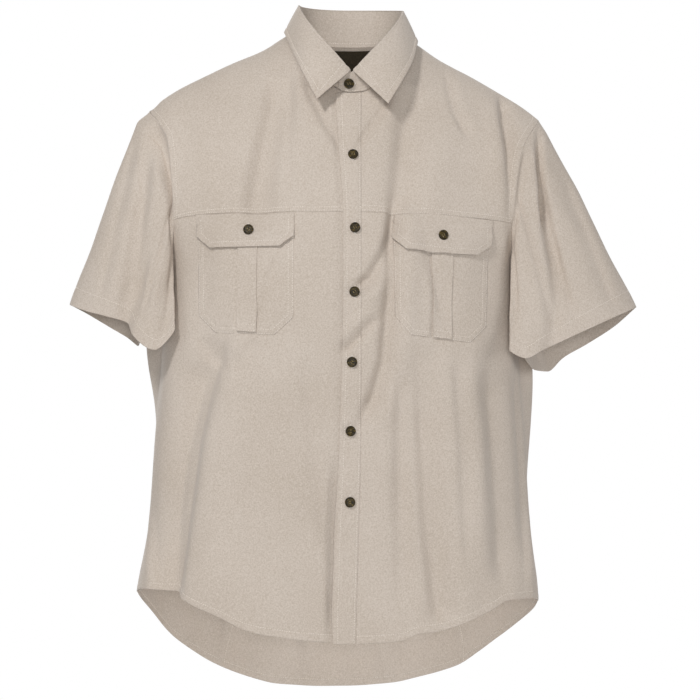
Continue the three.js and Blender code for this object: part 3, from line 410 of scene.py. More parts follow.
def neck_seam(side, t):
    start = column(PLACKET, "height", NECK["front"], "sewn")
    x = mix(start, side * NECK["half"], math.sin(math.pi / 2 * t))
    share = np.degrees(np.arcsin(np.abs(x) / NECK["half"])) / 90
    kept = mix(CROSSING["kept"], 1, smooth((side * x - max(0, side) * start) / CROSSING["ramp"]))
    rise = kept * (0.5 - 0.5 * np.cos(np.pi * share))
    return x, mix(NECK["front"], NECK["right" if side < 0 else "left"], rise)


def lower_row(side, hem, foot, u, v):
    """Degrees round of the side seam at a share v up from the hem, and the height of that row at u."""
    seam = side_column(SIDE_SEAM, "height", mix(side_column(hem, "turn", foot, side), ARMPIT, v), side)
    return seam, mix(side_column(hem, "turn", foot * u, side), mix(ARMPIT_ROW, ARMPIT, u), v)


def front_row(side, u, v):
    """Degrees round and height along one row of a front, from the placket (u 0) to the side (u 1)."""
    name = "right" if side < 0 else "left"
    if v <= 1:
        foot = column(SIDE_SEAM, "height", SIDE_BOTTOM, name)
        seam, z = lower_row(side, FRONT_HEM, foot, u, v)
        start = turn_at(side, column(PLACKET, "height", z, "sewn"), z, False)
        return mix(start, seam, u), z
    low = min(3, int(v))
    t = v - low
    below, above = ({key: FRONT_ROWS[key][k] for key in FRONT_ROWS} for k in (low - 1, low))
    share = mix(below["share"], above["share"], 1 - (1 - t) ** ROUNDING if low == 3 else t)
    out_x = armhole_across(side, share)
    bend = mix(below[name], above[name], t)
    in_z = mix(below["centre"], above["centre"], t)
    in_x = column(PLACKET, "height", in_z, "sewn")
    if low == 3:
        in_x, in_z = neck_seam(side, t)
    z = mix(in_z, armhole_height(side, share), u**bend)
    if low == 3:
        x = mix(in_x, out_x, u)
        chord = mix(NECK[name], TIP[name], u)
        z = z + (shoulder_at(mix(side * NECK["half"], armhole_across(side, 1.0), u)) - chord) * t**3
        z = np.minimum(z, shoulder_at(x))
        return turn_at(side, x, z, False), z
    if low == 2:
        level = turn_at(side, mix(in_x, out_x, u), z, False)
        return mix(mix(turn_at(side, in_x, z, False), turn_at(side, out_x, z, False), u), level, t), z
    return mix(turn_at(side, in_x, z, False), turn_at(side, out_x, z, False), u), z


def back_top(side, u):
    t = np.clip(u / NECK_SHARE, 0, 1)
    neck_x = side * NECK["half"] * np.sin(np.pi / 2 * t)
    neck_z = mix(NECK["back"], by_side(side, NECK), t**3)
    x = mix(side * NECK["half"], armhole_across(side, 1.0), (u - NECK_SHARE) / (1 - NECK_SHARE))
    return np.where(u < NECK_SHARE, neck_x, x), np.where(u < NECK_SHARE, neck_z, shoulder_at(x))


def back_row(u, v):
    """The same for the back, from the centre back (u 0) to the sides (u -1 and 1)."""
    side = np.where(u < 0, -1, 1)
    u = np.abs(u)
    if v <= 1:
        seam, z = lower_row(side, BACK_HEM, 180 - side_column(SIDE_SEAM, "height", SIDE_BOTTOM, side), u, v)
        return mix(180, seam, u), z
    low = min(2, int(v))
    t = v - low
    below, above = ({key: BACK_ROWS[key][k] for key in BACK_ROWS} for k in (low - 1, low))
    share = mix(below["share"], above["share"], 1 - (1 - t) ** ROUNDING if low == 2 else t)
    z = mix(mix(below["centre"], above["centre"], t), armhole_height(side, share), u)
    if low < 2:
        return mix(180, turn_at(side, armhole_across(side, share), z, True), u), z
    seam_z = mix(below["centre"], armhole_height(side, below["share"]), u)
    seam_turn = mix(180, turn_at(side, armhole_across(side, below["share"]), seam_z, True), u)
    top_x, top_z = back_top(side, u)
    x = mix(ring_point(side, seam_turn, seam_z)[..., 0], top_x, t)
    z = np.minimum(mix(seam_z, top_z, 1 - (1 - t) ** ROUNDING), shoulder_at(x))
    return turn_at(side, x, z, True), z


def front_grid(side, us, vs):
    """Rows of points of one front, from the hem (v 0) by the chest seam (2) to the shoulder (4)."""
    rows = [front_row(side, us, v) for v in vs]
    turn, z = (np.array([row[k] for row in rows]) for k in (0, 1))
    calm = smooth((1 - us) * CALM["side"]) * smooth((4 - np.array(vs)) * CALM["front_top"])[:, None]
    return folded(side, turn, z, False, calm), turn, z


def back_grid(us, vs):
    rows = [back_row(us, v) for v in vs]
    turn, z = (np.array([row[k] for row in rows]) for k in (0, 1))
    side = np.where(us < 0, -1, 1) * np.ones(len(vs))[:, None]
    calm = smooth((1 - np.abs(us)) * CALM["side"]) * smooth((3 - np.array(vs)) * CALM["back_top"])[:, None]
    return folded(side, turn, z, True, calm), turn, z


def grid_normals(points, closed=False):
    if closed:
        around = np.roll(points, -1, 1) - np.roll(points, 1, 1)
    else:
        around = np.gradient(points, axis=1)
    return unit(np.cross(around, np.gradient(points, axis=0)))


# Meshes
made = {}


def added(name, data):
    thing = bpy.data.objects.new(name, data)
    bpy.context.scene.collection.objects.link(thing)
    return thing


def new_piece(node, kind, vertices, faces, material, uvs=None):
    """A piece of the shirt, in metres, that stands for a node of the frame."""
    mesh = bpy.data.meshes.new(f"{node}_{kind}")
    mesh.from_pydata((np.asarray(vertices) * MM).tolist(), [], faces)
    if uvs is not None:
        layer = mesh.uv_layers.new(name="cloth")
        loops = np.empty(len(mesh.loops), np.int64)
        mesh.loops.foreach_get("vertex_index", loops)
        layer.data.foreach_set("uv", (np.asarray(uvs)[loops] * MM).astype(np.float32).ravel())
    mesh.validate()
    mesh.polygons.foreach_set("use_smooth", [True] * len(mesh.polygons))
    mesh.materials.append(material)
    piece = added(f"{node}_{kind}", mesh)
    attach(piece, "root")
    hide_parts(node)
    made[node, kind] = piece


def lengths(points, axis):
    """How far along each row (axis 1) or up each column (axis 0) every point lies, in mm."""
    steps = np.linalg.norm(np.diff(points, axis=axis), axis=-1)
    return np.cumsum(np.insert(steps, 0, 0, axis), axis)


def flat_places(points):
    """The places of a grid's points when its cloth is laid flat: across from the middle, and up."""
    u = lengths(points, 1)
    return u - u.mean(1, keepdims=True), lengths(points, 0)


def nearest(values, goal):
    return int(np.argmin(np.abs(values - goal)))


def shell(node, points, normals, outer, inner, closed=False, uv=None):
    """A closed thin wall on a grid of points, between two distances out along the normals."""
    rows, columns = points.shape[:2]
    outer, inner = (np.broadcast_to(np.asarray(d, float), (rows, columns))[..., None] for d in (outer, inner))
    vertices = np.concatenate([points + normals * outer, points + normals * inner]).reshape(-1, 3)
    uv = np.stack(uv or flat_places(points), -1).reshape(-1, 2)
    ids = np.arange(2 * rows * columns).reshape(2, rows, columns)
    if closed:
        ids = np.concatenate([ids, ids[:, :, :1]], 2)
    out, into = ids
    quads = [
        (out[:-1, :-1], out[:-1, 1:], out[1:, 1:], out[1:, :-1]),
        (into[:-1, :-1], into[1:, :-1], into[1:, 1:], into[:-1, 1:]),
        (out[0, :-1], into[0, :-1], into[0, 1:], out[0, 1:]),
        (out[-1, :-1], out[-1, 1:], into[-1, 1:], into[-1, :-1]),
    ]
    if not closed:
        quads += [
            (out[:-1, 0], out[1:, 0], into[1:, 0], into[:-1, 0]),
            (out[:-1, -1], into[:-1, -1], into[1:, -1], out[1:, -1]),
        ]
    faces = np.concatenate([np.stack(corners, -1).reshape(-1, 4) for corners in quads])
    outside = np.cross(np.gradient(points, axis=1), np.gradient(points, axis=0))
    if (outside * normals).sum() < 0:
        faces = faces[:, ::-1]
    new_piece(node, "cloth", vertices, faces.tolist(), cotton, np.concatenate([uv, uv]))


def tube_faces(start, rings, around):
    """The faces between rings of points, each ring joined to the next."""
    return [
        [a + k, a + (k + 1) % around, a + around + (k + 1) % around, a + around + k]
        for a in range(start, start + (rings - 1) * around, around)
        for k in range(around)
    ]


def follow(values, far, places):
    """Values along a run, read at places that lie this far along it."""
    return np.stack([np.interp(places, far, values[:, k]) for k in range(values.shape[1])], -1)


# A stitch lies along a seam: a short rounded bar, thick in the middle, its ends going into the cloth
BAR_ROUND = 6
BAR_RINGS = ((-0.5, 0.35, -0.5), (-0.32, 0.85, 0.1), (0, 1, 0.35), (0.32, 0.85, 0.1), (0.5, 0.35, -0.5))


class Sewing:
    """The stitches of one piece, gathered row by row into one mesh."""

    def __init__(self):
        self.vertices, self.faces = [], []

    def bar(self, middle, along, out, length, wide, high):
        across = np.cross(out, along)
        start = len(self.vertices)
        angles = np.arange(BAR_ROUND) * 2 * np.pi / BAR_ROUND
        for share, full, lift in BAR_RINGS:
            centre = middle + along * (share * length) + out * (lift * high)
            for angle in angles:
                off = across * (math.cos(angle) * wide / 2) + out * (math.sin(angle) * high / 2)
                self.vertices.append(centre + off * full)
        self.faces += tube_faces(start, len(BAR_RINGS), BAR_ROUND)
        last = len(self.vertices) - BAR_ROUND
        self.faces.append([start + k for k in reversed(range(BAR_ROUND))])
        self.faces.append([last + k for k in range(BAR_ROUND)])

    def row(self, path, normals, closed=False):
        """Stitches at an even pitch along a path that lies on the cloth."""
        if closed:
            path, normals = (np.concatenate([a, a[:1]]) for a in (path, normals))
        far = lengths(path, 0)
        count = int(far[-1] / STITCH["pitch"])
        places = (np.arange(count) + 0.5) * far[-1] / count
        half = STITCH["length"] / 2
        middles, outs = follow(path, far, places), unit(follow(normals, far, places))
        alongs = unit(follow(path, far, places + half) - follow(path, far, places - half))
        for middle, along, out in zip(middles, alongs, outs):
            self.bar(middle, along, out, STITCH["length"], STITCH["wide"], STITCH["high"])


sewing = defaultdict(Sewing)


def sew(node, points, normals, lift, where, facing=1, closed=False):
    """A row of stitches at these rows and columns of a grid, lifted off it along its normals."""
    seat = points + normals * np.broadcast_to(lift, points.shape[:2])[..., None]
    sewing[node].row(seat[where], normals[where] * facing, closed)


# Materials
def linear(*srgb):
    return tuple((c / 255 / 12.92) if c <= 10 else ((c / 255 + 0.055) / 1.055) ** 2.4 for c in srgb)


def fill(tree, node, inputs):
    """Give each named input its value, or link it from the output of another node."""
    for key, value in inputs.items():
        if isinstance(value, bpy.types.NodeSocket):
            tree.links.new(value, node.inputs[key])
        else:
            node.inputs[key].default_value = value


def add(tree, kind, inputs, operation=None):
    """A shader node with its inputs filled; gives its first output."""
    node = tree.nodes.new(kind)
    if operation:
        node.operation = operation
    fill(tree, node, inputs)
    return node.outputs[0]


def times(tree, a, b):
    return add(tree, "ShaderNodeMath", {0: a, 1: b}, "MULTIPLY")


def sum_of(tree, *parts):
    """The sum of some outputs, each times its share."""
    total, *others = (times(tree, output, share) for output, share in parts)
    for part in others:
        total = add(tree, "ShaderNodeMath", {0: total, 1: part}, "ADD")
    return total


def noise(tree, vector, scale, detail, stretch=(1, 1, 1), roughness=0.5):
    mapped = add(tree, "ShaderNodeMapping", {"Scale": stretch, "Vector": vector})
    inputs = {"Scale": scale, "Detail": detail, "Roughness": roughness, "Vector": mapped}
    return add(tree, "ShaderNodeTexNoise", inputs)


def bump(tree, height, strength, distance, below=None):
    inputs = {"Strength": strength, "Distance": distance, "Height": height}
    return add(tree, "ShaderNodeBump", inputs | ({"Normal": below} if below else {}))


def ramp(tree, factor, *stops):
    node = tree.nodes.new("ShaderNodeValToRGB")
    elements = node.color_ramp.elements
    while len(elements) > 1:
        elements.remove(elements[-1])
    for k, (place, color) in enumerate(stops):
        element = elements[0] if k == 0 else elements.new(place)
        element.position = place
        element.color = (*color, 1)
    fill(tree, node, {"Fac": factor})
    return node.outputs["Color"]


def weave_height(tree, uv, threads):
    """Warp over weft, as two sets of ridges that take turns on top."""
    split = tree.nodes.new("ShaderNodeSeparateXYZ")
    fill(tree, split, {0: uv})
    turns = 2 * math.pi * threads
    x, y = (add(tree, "ShaderNodeMath", {0: times(tree, split.outputs[key], turns)}, "SINE") for key in "XY")
    return times(tree, x, y)


def new_material(name):
    """A material, its nodes, its shader and the outputs that tell where a point lies."""
    material = bpy.data.materials.new(name)
    material.use_nodes = True
    tree = material.node_tree
    return material, tree, tree.nodes["Principled BSDF"], tree.nodes.new("ShaderNodeTexCoord").outputs


# Noise by its scale, detail, stretch along each axis and roughness
SLUB_UP = (420.0, 3.0, (3.0, 0.7, 1))
SLUB_ACROSS = (420.0, 3.0, (0.7, 3.0, 1))
MOTTLE = (640.0, 3.0, (1, 1, 1), 0.6)
CLOUD = (9.0, 2.0)
TWIST = (900.0, 1.0)
STREAK = (240.0, 4.0, (1, 1, 2.6), 0.6)
SPECK = (900.0, 2.0)


def cloth_material(name, light, mid, dark, threads=1700.0):
    """Plain brushed cotton: a fine weave, slubs along the threads and a soft mottle."""
    material, tree, shader, where = new_material(name)
    slub_up, slub_across = (noise(tree, where["UV"], *slub) for slub in (SLUB_UP, SLUB_ACROSS))
    mottle, cloud = (noise(tree, where["Object"], *patches) for patches in (MOTTLE, CLOUD))
    tone = sum_of(tree, (slub_up, 0.22), (slub_across, 0.18), (mottle, 0.46), (cloud, 0.14))
    normal = bump(tree, weave_height(tree, where["UV"], threads), 0.2, 0.0001)
    normal = bump(tree, mottle, 0.3, 0.0003, normal)
    fill(tree, shader, {
        "Base Color": ramp(tree, tone, (0.42, dark), (0.5, mid), (0.58, light)),
        "Normal": bump(tree, slub_up, 0.2, 0.0003, normal),
        "Roughness": add(tree, "ShaderNodeMapRange", {"To Min": 0.8, "To Max": 0.95, "Value": mottle}),
        "Specular IOR Level": 0.25,
        "Sheen Weight": 0.18,
        "Sheen Roughness": 0.5,
    })
    return material


def thread_material(name, dark, light):
    material, tree, shader, where = new_material(name)
    twist = noise(tree, where["Object"], *TWIST)
    fill(tree, shader, {
        "Base Color": ramp(tree, twist, (0.35, dark), (0.65, light)),
        "Normal": bump(tree, twist, 0.4, 0.0002),
        "Roughness": 0.6,
    })
    return material


def horn_material():
    """Mottled brown horn, darker in streaks, with a soft polish."""
    material, tree, shader, where = new_material("horn")
    streak, speck = (noise(tree, where["Object"], *marks) for marks in (STREAK, SPECK))
    brown = (
        (0.4, linear(24, 18, 4)), (0.52, linear(50, 40, 14)), (0.62, linear(96, 80, 36)),
        (0.74, linear(138, 118, 62)),
    )
    fill(tree, shader, {
        "Base Color": ramp(tree, sum_of(tree, (streak, 0.75), (speck, 0.25)), *brown),
        "Normal": bump(tree, speck, 0.15, 0.0002),
        "Roughness": 0.5,
        "Specular IOR Level": 0.3,
    })
    return material


cotton = cloth_material("stone_cotton", linear(208, 197, 186), linear(198, 186, 174), linear(186, 173, 159))
label_cloth = cloth_material("dark_label", linear(62, 52, 34), linear(50, 41, 26), linear(38, 30, 18), 2600.0)
thread = thread_material("sewing_thread", linear(222, 212, 200), linear(242, 235, 226))
button_thread = thread_material("button_thread", linear(120, 104, 66), linear(156, 138, 96))
horn = horn_material()


# Where rows and columns lie: close together at edges and seams, even between
def spread(start, end, near, count):
    """Places from start to end with given steps in from each end, and count even steps between."""
    near = [d for d in near if d < (end - start) / 2]
    first, last = [start + d for d in near], [end - d for d in near[::-1]]
    return np.array(first + list(np.linspace(first[-1], last[0], count + 1))[1:-1] + last)


def shares(length, near, count):
    return spread(0, length, near, count) / length


HEM_WIDE = 9.0
ARMHOLE_IN = 6.5
POCKET_IN = 6.5
PLACKET_IN = 5.5
SLEEVE_IN = 22.0
LEAF_IN = 7.0
EDGE = (0, 0.8, 2.2)
YOKE_EDGE = (0, 0.8, 2, 4, 6, 8)
BACK_EDGE = (0, 0.003, 0.008)
HEM_EDGE = (0, 0.8, 2.2, 4.5, 7, HEM_WIDE - 0.8, HEM_WIDE, HEM_WIDE + 1, HEM_WIDE + 3)
SLEEVE_EDGE = (0, 0.8, 2.2, 5, 10, 16, 20, 21.2, SLEEVE_IN, 23, 25)
LEAF_SIDE_EDGE = (0, 0.9, 2.5, 4.5, 6.2, 7, 8.2, 10)
LEAF_LOW_EDGE = (0, 0.8, 2.4, 4.5, 6.2, LEAF_IN, 8.2, 10)
HEM_ROWS = shares(430, HEM_EDGE, 118)
FRONT_COLUMNS = shares(250, EDGE, 100)
FRONT_GRIDS = {
    "front": np.concatenate([HEM_ROWS, 1 + shares(72, EDGE, 22)[1:]]),
    "front_yoke": np.concatenate([2 + shares(150, YOKE_EDGE, 50), 3 + shares(84, EDGE, 34)[1:]]),
}
BACK_HALF = spread(0, 1, BACK_EDGE, 96)
BACK_COLUMNS = np.concatenate([-BACK_HALF[::-1], BACK_HALF[1:]])
BACK_GRIDS = {
    "back": np.concatenate([HEM_ROWS, 1 + shares(176, EDGE, 50)[1:]]),
    "back_yoke": 2 + shares(110, YOKE_EDGE, 40),
}
FRONT_MIDDLE, YOKE_MIDDLE, BACK_MIDDLE = 50, 30, 96

# How doubled cloth stands proud beside a seam, in mm
HEM = {"ramp": 3, "edge": 1.2, "start": 0.3}
FRONT_YOKE = {"lift": 0.45, "wide": 8, "ramp": 4, "edge": 2.0, "start": 0.1}
BACK_YOKE = {"lift": 0.5, "wide": 6, "ramp": 4, "edge": 1.0, "start": 0.2}
# Gathers beside a row of stitches: how far they reach and how high they are
GATHERS = {
    "hem": (7.0, 0.22), "yoke": (6, 0.16), "pocket": (5, 0.12), "placket": (5, 0.14),
    "placket_seam": (5, 0.12), "sleeve": (6, 0.15), "leaf": (5, 0.1),
}


def plateau(distance, lift, wide, ramp, edge, start):
    return lift * (1 - smooth((distance - wide) / ramp)) * smooth(distance / edge + start)


def hem_relief(distance, stitch=HEM_WIDE, lift=0.35, dip=0.3):
    """Doubled cloth stands a little proud up to its stitching, which pulls it in."""
    return plateau(distance, lift, stitch - 1, **HEM) - dip * bell(distance - stitch, 1.3)


def pucker(kind, along, distance, seed=0.0):
    """Small uneven gathers beside a row of stitches."""
    reach, high = GATHERS[kind]
    wave = np.sin(along / 1.9 + seed) + 0.7 * np.sin(along / 3.1 + 1.7 + 2 * seed)
    wave = wave + 0.5 * np.sin(along / 1.27 + seed * 3)
    return high * wave / 2 * bell(distance, reach)


# Fronts and their yokes
GROOVE = {"out": 1.4, "wide": 3.0, "deep": 2.0}
CHEST_SEAM = {"deep": 0.2, "wide": 2.0}
YOKE_STITCHES = (1.6, 7.2)
for name, side in SIDES.items():
    for part, rows in FRONT_GRIDS.items():
        node = f"{part}_{name}"
        points, turn, z = front_grid(side, FRONT_COLUMNS, rows)
        normals = grid_normals(points) * side
        u, v = flat_places(points)
        relief = np.zeros(points.shape[:2])
        if side < 0:
            beside = points[..., 0] - column(PLACKET, "height", z, "free") + GROOVE["out"]
            relief -= GROOVE["deep"] * bell(beside, GROOVE["wide"])
        if part == "front":
            relief += hem_relief(v) + pucker("hem", u, v - HEM_WIDE, side)
            relief -= CHEST_SEAM["deep"] * bell(v[-1:] - v, CHEST_SEAM["wide"])
            sew(node, points, normals, 0, nearest(v[:, FRONT_MIDDLE], HEM_WIDE))
        else:
            relief += plateau(v, **FRONT_YOKE) + pucker("yoke", u, v - 5, side)
            for distance in YOKE_STITCHES:
                sew(node, points, normals, relief, nearest(v[:, FRONT_MIDDLE], distance))
            beside = nearest(u[YOKE_MIDDLE, -1] - u[YOKE_MIDDLE], ARMHOLE_IN)
            sew(node, points, normals, relief, np.s_[:, beside])
        shell(node, points, normals, relief, relief - CLOTH)

# The back and its yoke
BACK_SEAMS = (-168, 140)
BACK_SEAM = {"deep": 0.8, "rows": 60, "lift": 0.1}
for node, rows in BACK_GRIDS.items():
    points = back_grid(BACK_COLUMNS, rows)[0]
    normals = -grid_normals(points)
    u, v = flat_places(points)
    if node == "back":
        relief = hem_relief(v) + pucker("hem", u, v - HEM_WIDE, 2)
        inner = relief - CLOTH
        hem = nearest(v[:, BACK_MIDDLE], HEM_WIDE)
        sew(node, points, normals, 0, hem)
        sew(node, points, normals, -CLOTH, hem, -1)
        for across in BACK_SEAMS:
            k = nearest(points[0, :, 0], across)
            inner[:, k] -= BACK_SEAM["deep"]
            sew(node, points, normals, -CLOTH - BACK_SEAM["lift"], np.s_[:BACK_SEAM["rows"], k + 1], -1)
    else:
        relief = plateau(v, **BACK_YOKE) + pucker("yoke", u, v - 3, 4)
        inner = relief - CLOTH
        sew(node, points, normals, relief, nearest(v[:, BACK_MIDDLE], 5))
    shell(node, points, normals, relief, inner)

# Pieces that lie on the front or the back, cut to an outline across and up
SLOPE_STEP = 0.6
LABEL_CALM = 0.3
CUT_NEAR, MERGED = 1e-6, 0.05


def with_normals(point, x, z):
    around = point(x + SLOPE_STEP, z) - point(x - SLOPE_STEP, z)
    up = point(x, z + SLOPE_STEP) - point(x, z - SLOPE_STEP)
    return point(x, z), unit(np.cross(around, up))


def on_front(side, x, z):
    """Points and normals of a front, with its folds, at places across and up."""
    return with_normals(lambda px, pz: folded(side, turn_at(side, px, pz, False), pz, False), x, z)


def on_back_inside(x, z):
    def point(px, pz):
        side = np.where(px < 0, -1, 1)
        return folded(side, turn_at(side, px, pz, True), pz, True, np.full(np.shape(px), LABEL_CALM))

    return with_normals(point, x, z)


def sides_of(outline):
    """Each side of a convex outline: its start, its direction and its normal to the inside."""
    corners = np.array(outline, float)
    middle = corners.mean(0)
    for a, b in zip(corners, np.roll(corners, -1, 0)):
        direction = (b - a) / np.linalg.norm(b - a)
        normal = np.array([-direction[1], direction[0]])
        yield a, direction, normal if (middle - a) @ normal > 0 else -normal


def inside_distance(outline, x, z):
    """How far in from the nearest edge of a convex outline."""
    return np.min([(x - a[0]) * normal[0] + (z - a[1]) * normal[1] for a, _, normal in sides_of(outline)], 0)


def inset(outline, distance):
    """The corners of an outline moved in by a distance."""
    lines = [(a + normal * distance, direction) for a, direction, normal in sides_of(outline)]
    result = []
    for (p, d), (q, e) in zip(lines[-1:] + lines, lines):
        t = np.linalg.solve(np.array([d, -e]).T, q - p)[0]
        result.append(p + d * t)
    return np.array(result)


def cut_to(xs, zs, outline):
    """A flat grid over an outline, cut along it: its vertices (x, z), faces and border."""
    flat = bmesh.new()
    grid = [[flat.verts.new((x, 0, z)) for x in xs] for z in zs]
    for low, high in zip(grid, grid[1:]):
        for k in range(len(xs) - 1):
            flat.faces.new((low[k], low[k + 1], high[k + 1], high[k]))
    for a, _, normal in sides_of(outline):
        everything = flat.verts[:] + flat.edges[:] + flat.faces[:]
        start, out = (a[0], 0, a[1]), (-normal[0], 0, -normal[1])
        bmesh.ops.bisect_plane(
            flat, geom=everything, plane_co=start, plane_no=out, clear_outer=True, dist=CUT_NEAR
        )
    bmesh.ops.remove_doubles(flat, verts=flat.verts, dist=MERGED)
    flat.verts.index_update()
    vertices = np.array([(v.co.x, v.co.z) for v in flat.verts])
    faces = [[v.index for v in face.verts] for face in flat.faces]
    border = [tuple(v.index for v in edge.verts) for edge in flat.edges if edge.is_boundary]
    flat.free()
    return vertices, faces, border


def layer(node, outline, surface, height, thick, step, material=cotton):
    """A thin closed piece over an outline; height(x, z, distance in) is its outer face."""
    corners = np.array(outline, float)
    xs, zs = (
        np.linspace(low, high, int((high - low) / step) + 2)
        for low, high in zip(corners.min(0) - 1, corners.max(0) + 1)
    )
    flat, faces, border = cut_to(xs, zs, outline)
    x, z = flat.T
    points, normals = surface(x, z)
    out = height(x, z, inside_distance(outline, x, z))
    vertices = np.concatenate([points + normals * out[:, None], points + normals * (out - thick)[:, None]])
    a, b, c = (vertices[k] for k in faces[0][:3])
    if np.cross(b - a, c - b) @ normals[faces[0][0]] < 0:
        faces = [face[::-1] for face in faces]
    directed = {(a, b) for face in faces for a, b in zip(face, face[1:] + face[:1])}
    count = len(flat)
    every = faces + [[k + count for k in face[::-1]] for face in faces]
    for a, b in border:
        a, b = (a, b) if (a, b) in directed else (b, a)
        every.append([b, a, a + count, b + count])
    new_piece(node, "cloth", vertices, every, material, np.concatenate([flat, flat]))


RESAMPLED = 1.5


def sew_on(node, surface, path, height, distance):
    """A row of stitches on a piece, along corners that lie this far in from its outline."""
    far = lengths(path, 0)
    flat = follow(path, far, np.linspace(0, far[-1], max(2, int(far[-1] / RESAMPLED))))
    x, z = flat.T
    points, normals = surface(x, z)
    sewing[node].row(points + normals * height(x, z, distance)[:, None], normals)


BAG = {"edge": 0.3, "lift": 0.8, "dip": 0.35, "groove": 0.9, "belly": 0.8, "stitches": (1.4, POCKET_IN)}
FLAP = {"top": -201.5, "edge": 1.0, "turned": 0.9, "over": 3.6, "side": 1.15, "dip": 0.3, "wave": 0.2}
PLEAT = {"high": 3.1, "edge": 0.4, "in": 1.2, "stitches": (1.5, 8.5)}
for name, side in SIDES.items():
    bag, pleat, flap = (np.array(POCKETS[name][key], float) for key in ("bag", "pleat", "flap"))

    def surface(x, z):
        return on_front(side, x, z)

    def from_side(outline, x):
        return np.minimum(x - outline[:, 0].min(), outline[:, 0].max() - x)

    def bag_height(x, z, distance):
        edge = BAG["edge"] + BAG["lift"] * smooth(distance / 4)
        dip = BAG["dip"] * bell(distance - POCKET_IN, 1.2)
        dip = dip + BAG["groove"] * bell(x - pleat[:, 0].min() + 1.2, 2)
        belly = BAG["belly"] * smooth((distance - POCKET_IN) / 25) * smooth((z - bag[:, 1].min()) / 40)
        return edge - dip + belly + pucker("pocket", x + z, distance - POCKET_IN, side)

    def flap_height(x, z, distance):
        down = FLAP["top"] - z
        rise = FLAP["edge"] + FLAP["turned"] * smooth(down / 8) + FLAP["over"] * smooth((down - 12) / 24)
        off_side = np.maximum(smooth(from_side(flap, x) / 9), smooth((down - 13) / 12))
        dip = FLAP["dip"] * bell(distance - POCKET_IN, 1.2) * smooth(down / 12)
        wave = FLAP["wave"] * np.sin(x / 17 + side) * smooth((down - 15) / 20)
        rise = mix(FLAP["side"], rise, off_side) - dip + wave
        return rise + pucker("pocket", x + z, distance - POCKET_IN, 3 * side)

    def pleat_height(x, z, distance):
        return PLEAT["high"] - PLEAT["edge"] * smooth(from_side(pleat, x) / 4)

    layer(f"pocket_{name}", bag, surface, bag_height, 0.6, 2.0)
    layer(f"pocket_pleat_{name}", pleat, surface, pleat_height, 0.6, 1.5)
    layer(f"pocket_flap_{name}", flap, surface, flap_height, 0.7, 2.0)
    for distance in BAG["stitches"]:
        sew_on(f"pocket_{name}", surface, inset(bag, distance), bag_height, distance)
    run = inset(flap, POCKET_IN)
    sew_on(f"pocket_flap_{name}", surface, run[:-1] if side > 0 else run, flap_height, POCKET_IN)
    foot = pleat[np.argsort(pleat[:, 1])[:2]]
    foot = foot[np.argsort(foot[:, 0])]
    for up in PLEAT["stitches"]:
        ends = foot + np.array([[PLEAT["in"], up], [-PLEAT["in"], up]])
        sew_on(f"pocket_pleat_{name}", surface, ends, pleat_height, 0)

# The placket lies over the right front's edge and is sewn to the left front
PLACKET_LIFT = {"high": 2.4, "from": -500, "ramp": 90, "wide": 12, "sewn": 0.12, "flat": 1.15, "edge": 0.25}
PLACKET_SHARES = (5.5 / 22, 1 - 2.2 / 22)
columns = np.concatenate([[0, 0.03], np.linspace(0.08, 0.92, 13), [0.97, 1]])
rows = spread(-722, NECK["front"] - 1, EDGE, 240)
level = rows[:, None] * np.ones(len(columns))


def placket_x(z):
    free, sewn = (column(PLACKET, "height", z, key) for key in ("free", "sewn"))
    return mix(free, sewn - 0.3, columns)


hem = column(FRONT_HEM, "turn", np.abs(turn_at(-1, placket_x(level), level, False)), "left")
z = mix(hem, rows[-1], (level - rows[0]) / (rows[-1] - rows[0]))
points, normals = on_front(-1, placket_x(z), z)
width = np.linalg.norm(points[:, -1] - points[:, 0], axis=1)[:, None]
from_free, from_sewn = columns * width, (1 - columns) * width
raised = smooth((PLACKET_LIFT["from"] - z) / PLACKET_LIFT["ramp"])
raised = raised * (1 - smooth(from_free / PLACKET_LIFT["wide"]))
relief = PLACKET_LIFT["flat"] + PLACKET_LIFT["edge"] * smooth(from_free / 2) + PLACKET_LIFT["high"] * raised
relief = relief - 0.3 * bell(from_free - PLACKET_IN, 1.2)
relief = mix(PLACKET_LIFT["sewn"], relief, smooth(from_sewn / 5))
relief += pucker("placket", z, from_free - PLACKET_IN, 1) + pucker("placket_seam", z, from_sewn - 3, 2)
for share in PLACKET_SHARES:
    sew("placket", points, normals, relief, np.s_[:, nearest(columns, share)])
shell("placket", points, normals, relief, relief - CLOTH)

# The label inside the back yoke
LABEL_CORNERS = (("left", "top"), ("left", "bottom"), ("right", "bottom"), ("right", "top"))
label_outline = [(LABEL[x], LABEL[z]) for x, z in LABEL_CORNERS]


def label_height(x, z, distance):
    return 2.3 + 0.2 * smooth(distance / 2)


layer("neck_label", label_outline, on_back_inside, label_height, 0.5, 1.5, label_cloth)

# Sleeves: a ring of points round the armhole, drawn down to the hem
ARMHOLE_ROUND = {"front": 84, "back": 62}
HALVINGS = 24


def armhole_ring(side):
    one = np.array([1.0])
    ring = [front_row(side, one, v) for v in np.linspace(4, 1, ARMHOLE_ROUND["front"])]
    ring += [back_row(one * side, v) for v in np.linspace(1, 3, ARMHOLE_ROUND["back"])[1:-1]]
    turn, z = np.array(ring)[..., 0].T
    sides = np.full(len(turn), side)
    points = ring_point(sides, turn, z)
    normals = ring_normal(sides, turn, z)
    far = lengths(np.concatenate([points, points[:1]]), 0)
    whole, far, low = far[-1], far[:-1], far[ARMHOLE_ROUND["front"] - 1]
    in_front = UNDERARM * far / low
    behind = UNDERARM + (1 - UNDERARM) * (far - low) / (whole - low)
    along = np.roll(points, -1, 0) - np.roll(points, 1, 0)
    return points, np.where(far <= low, in_front, behind), unit(np.cross(along, normals) * -side)


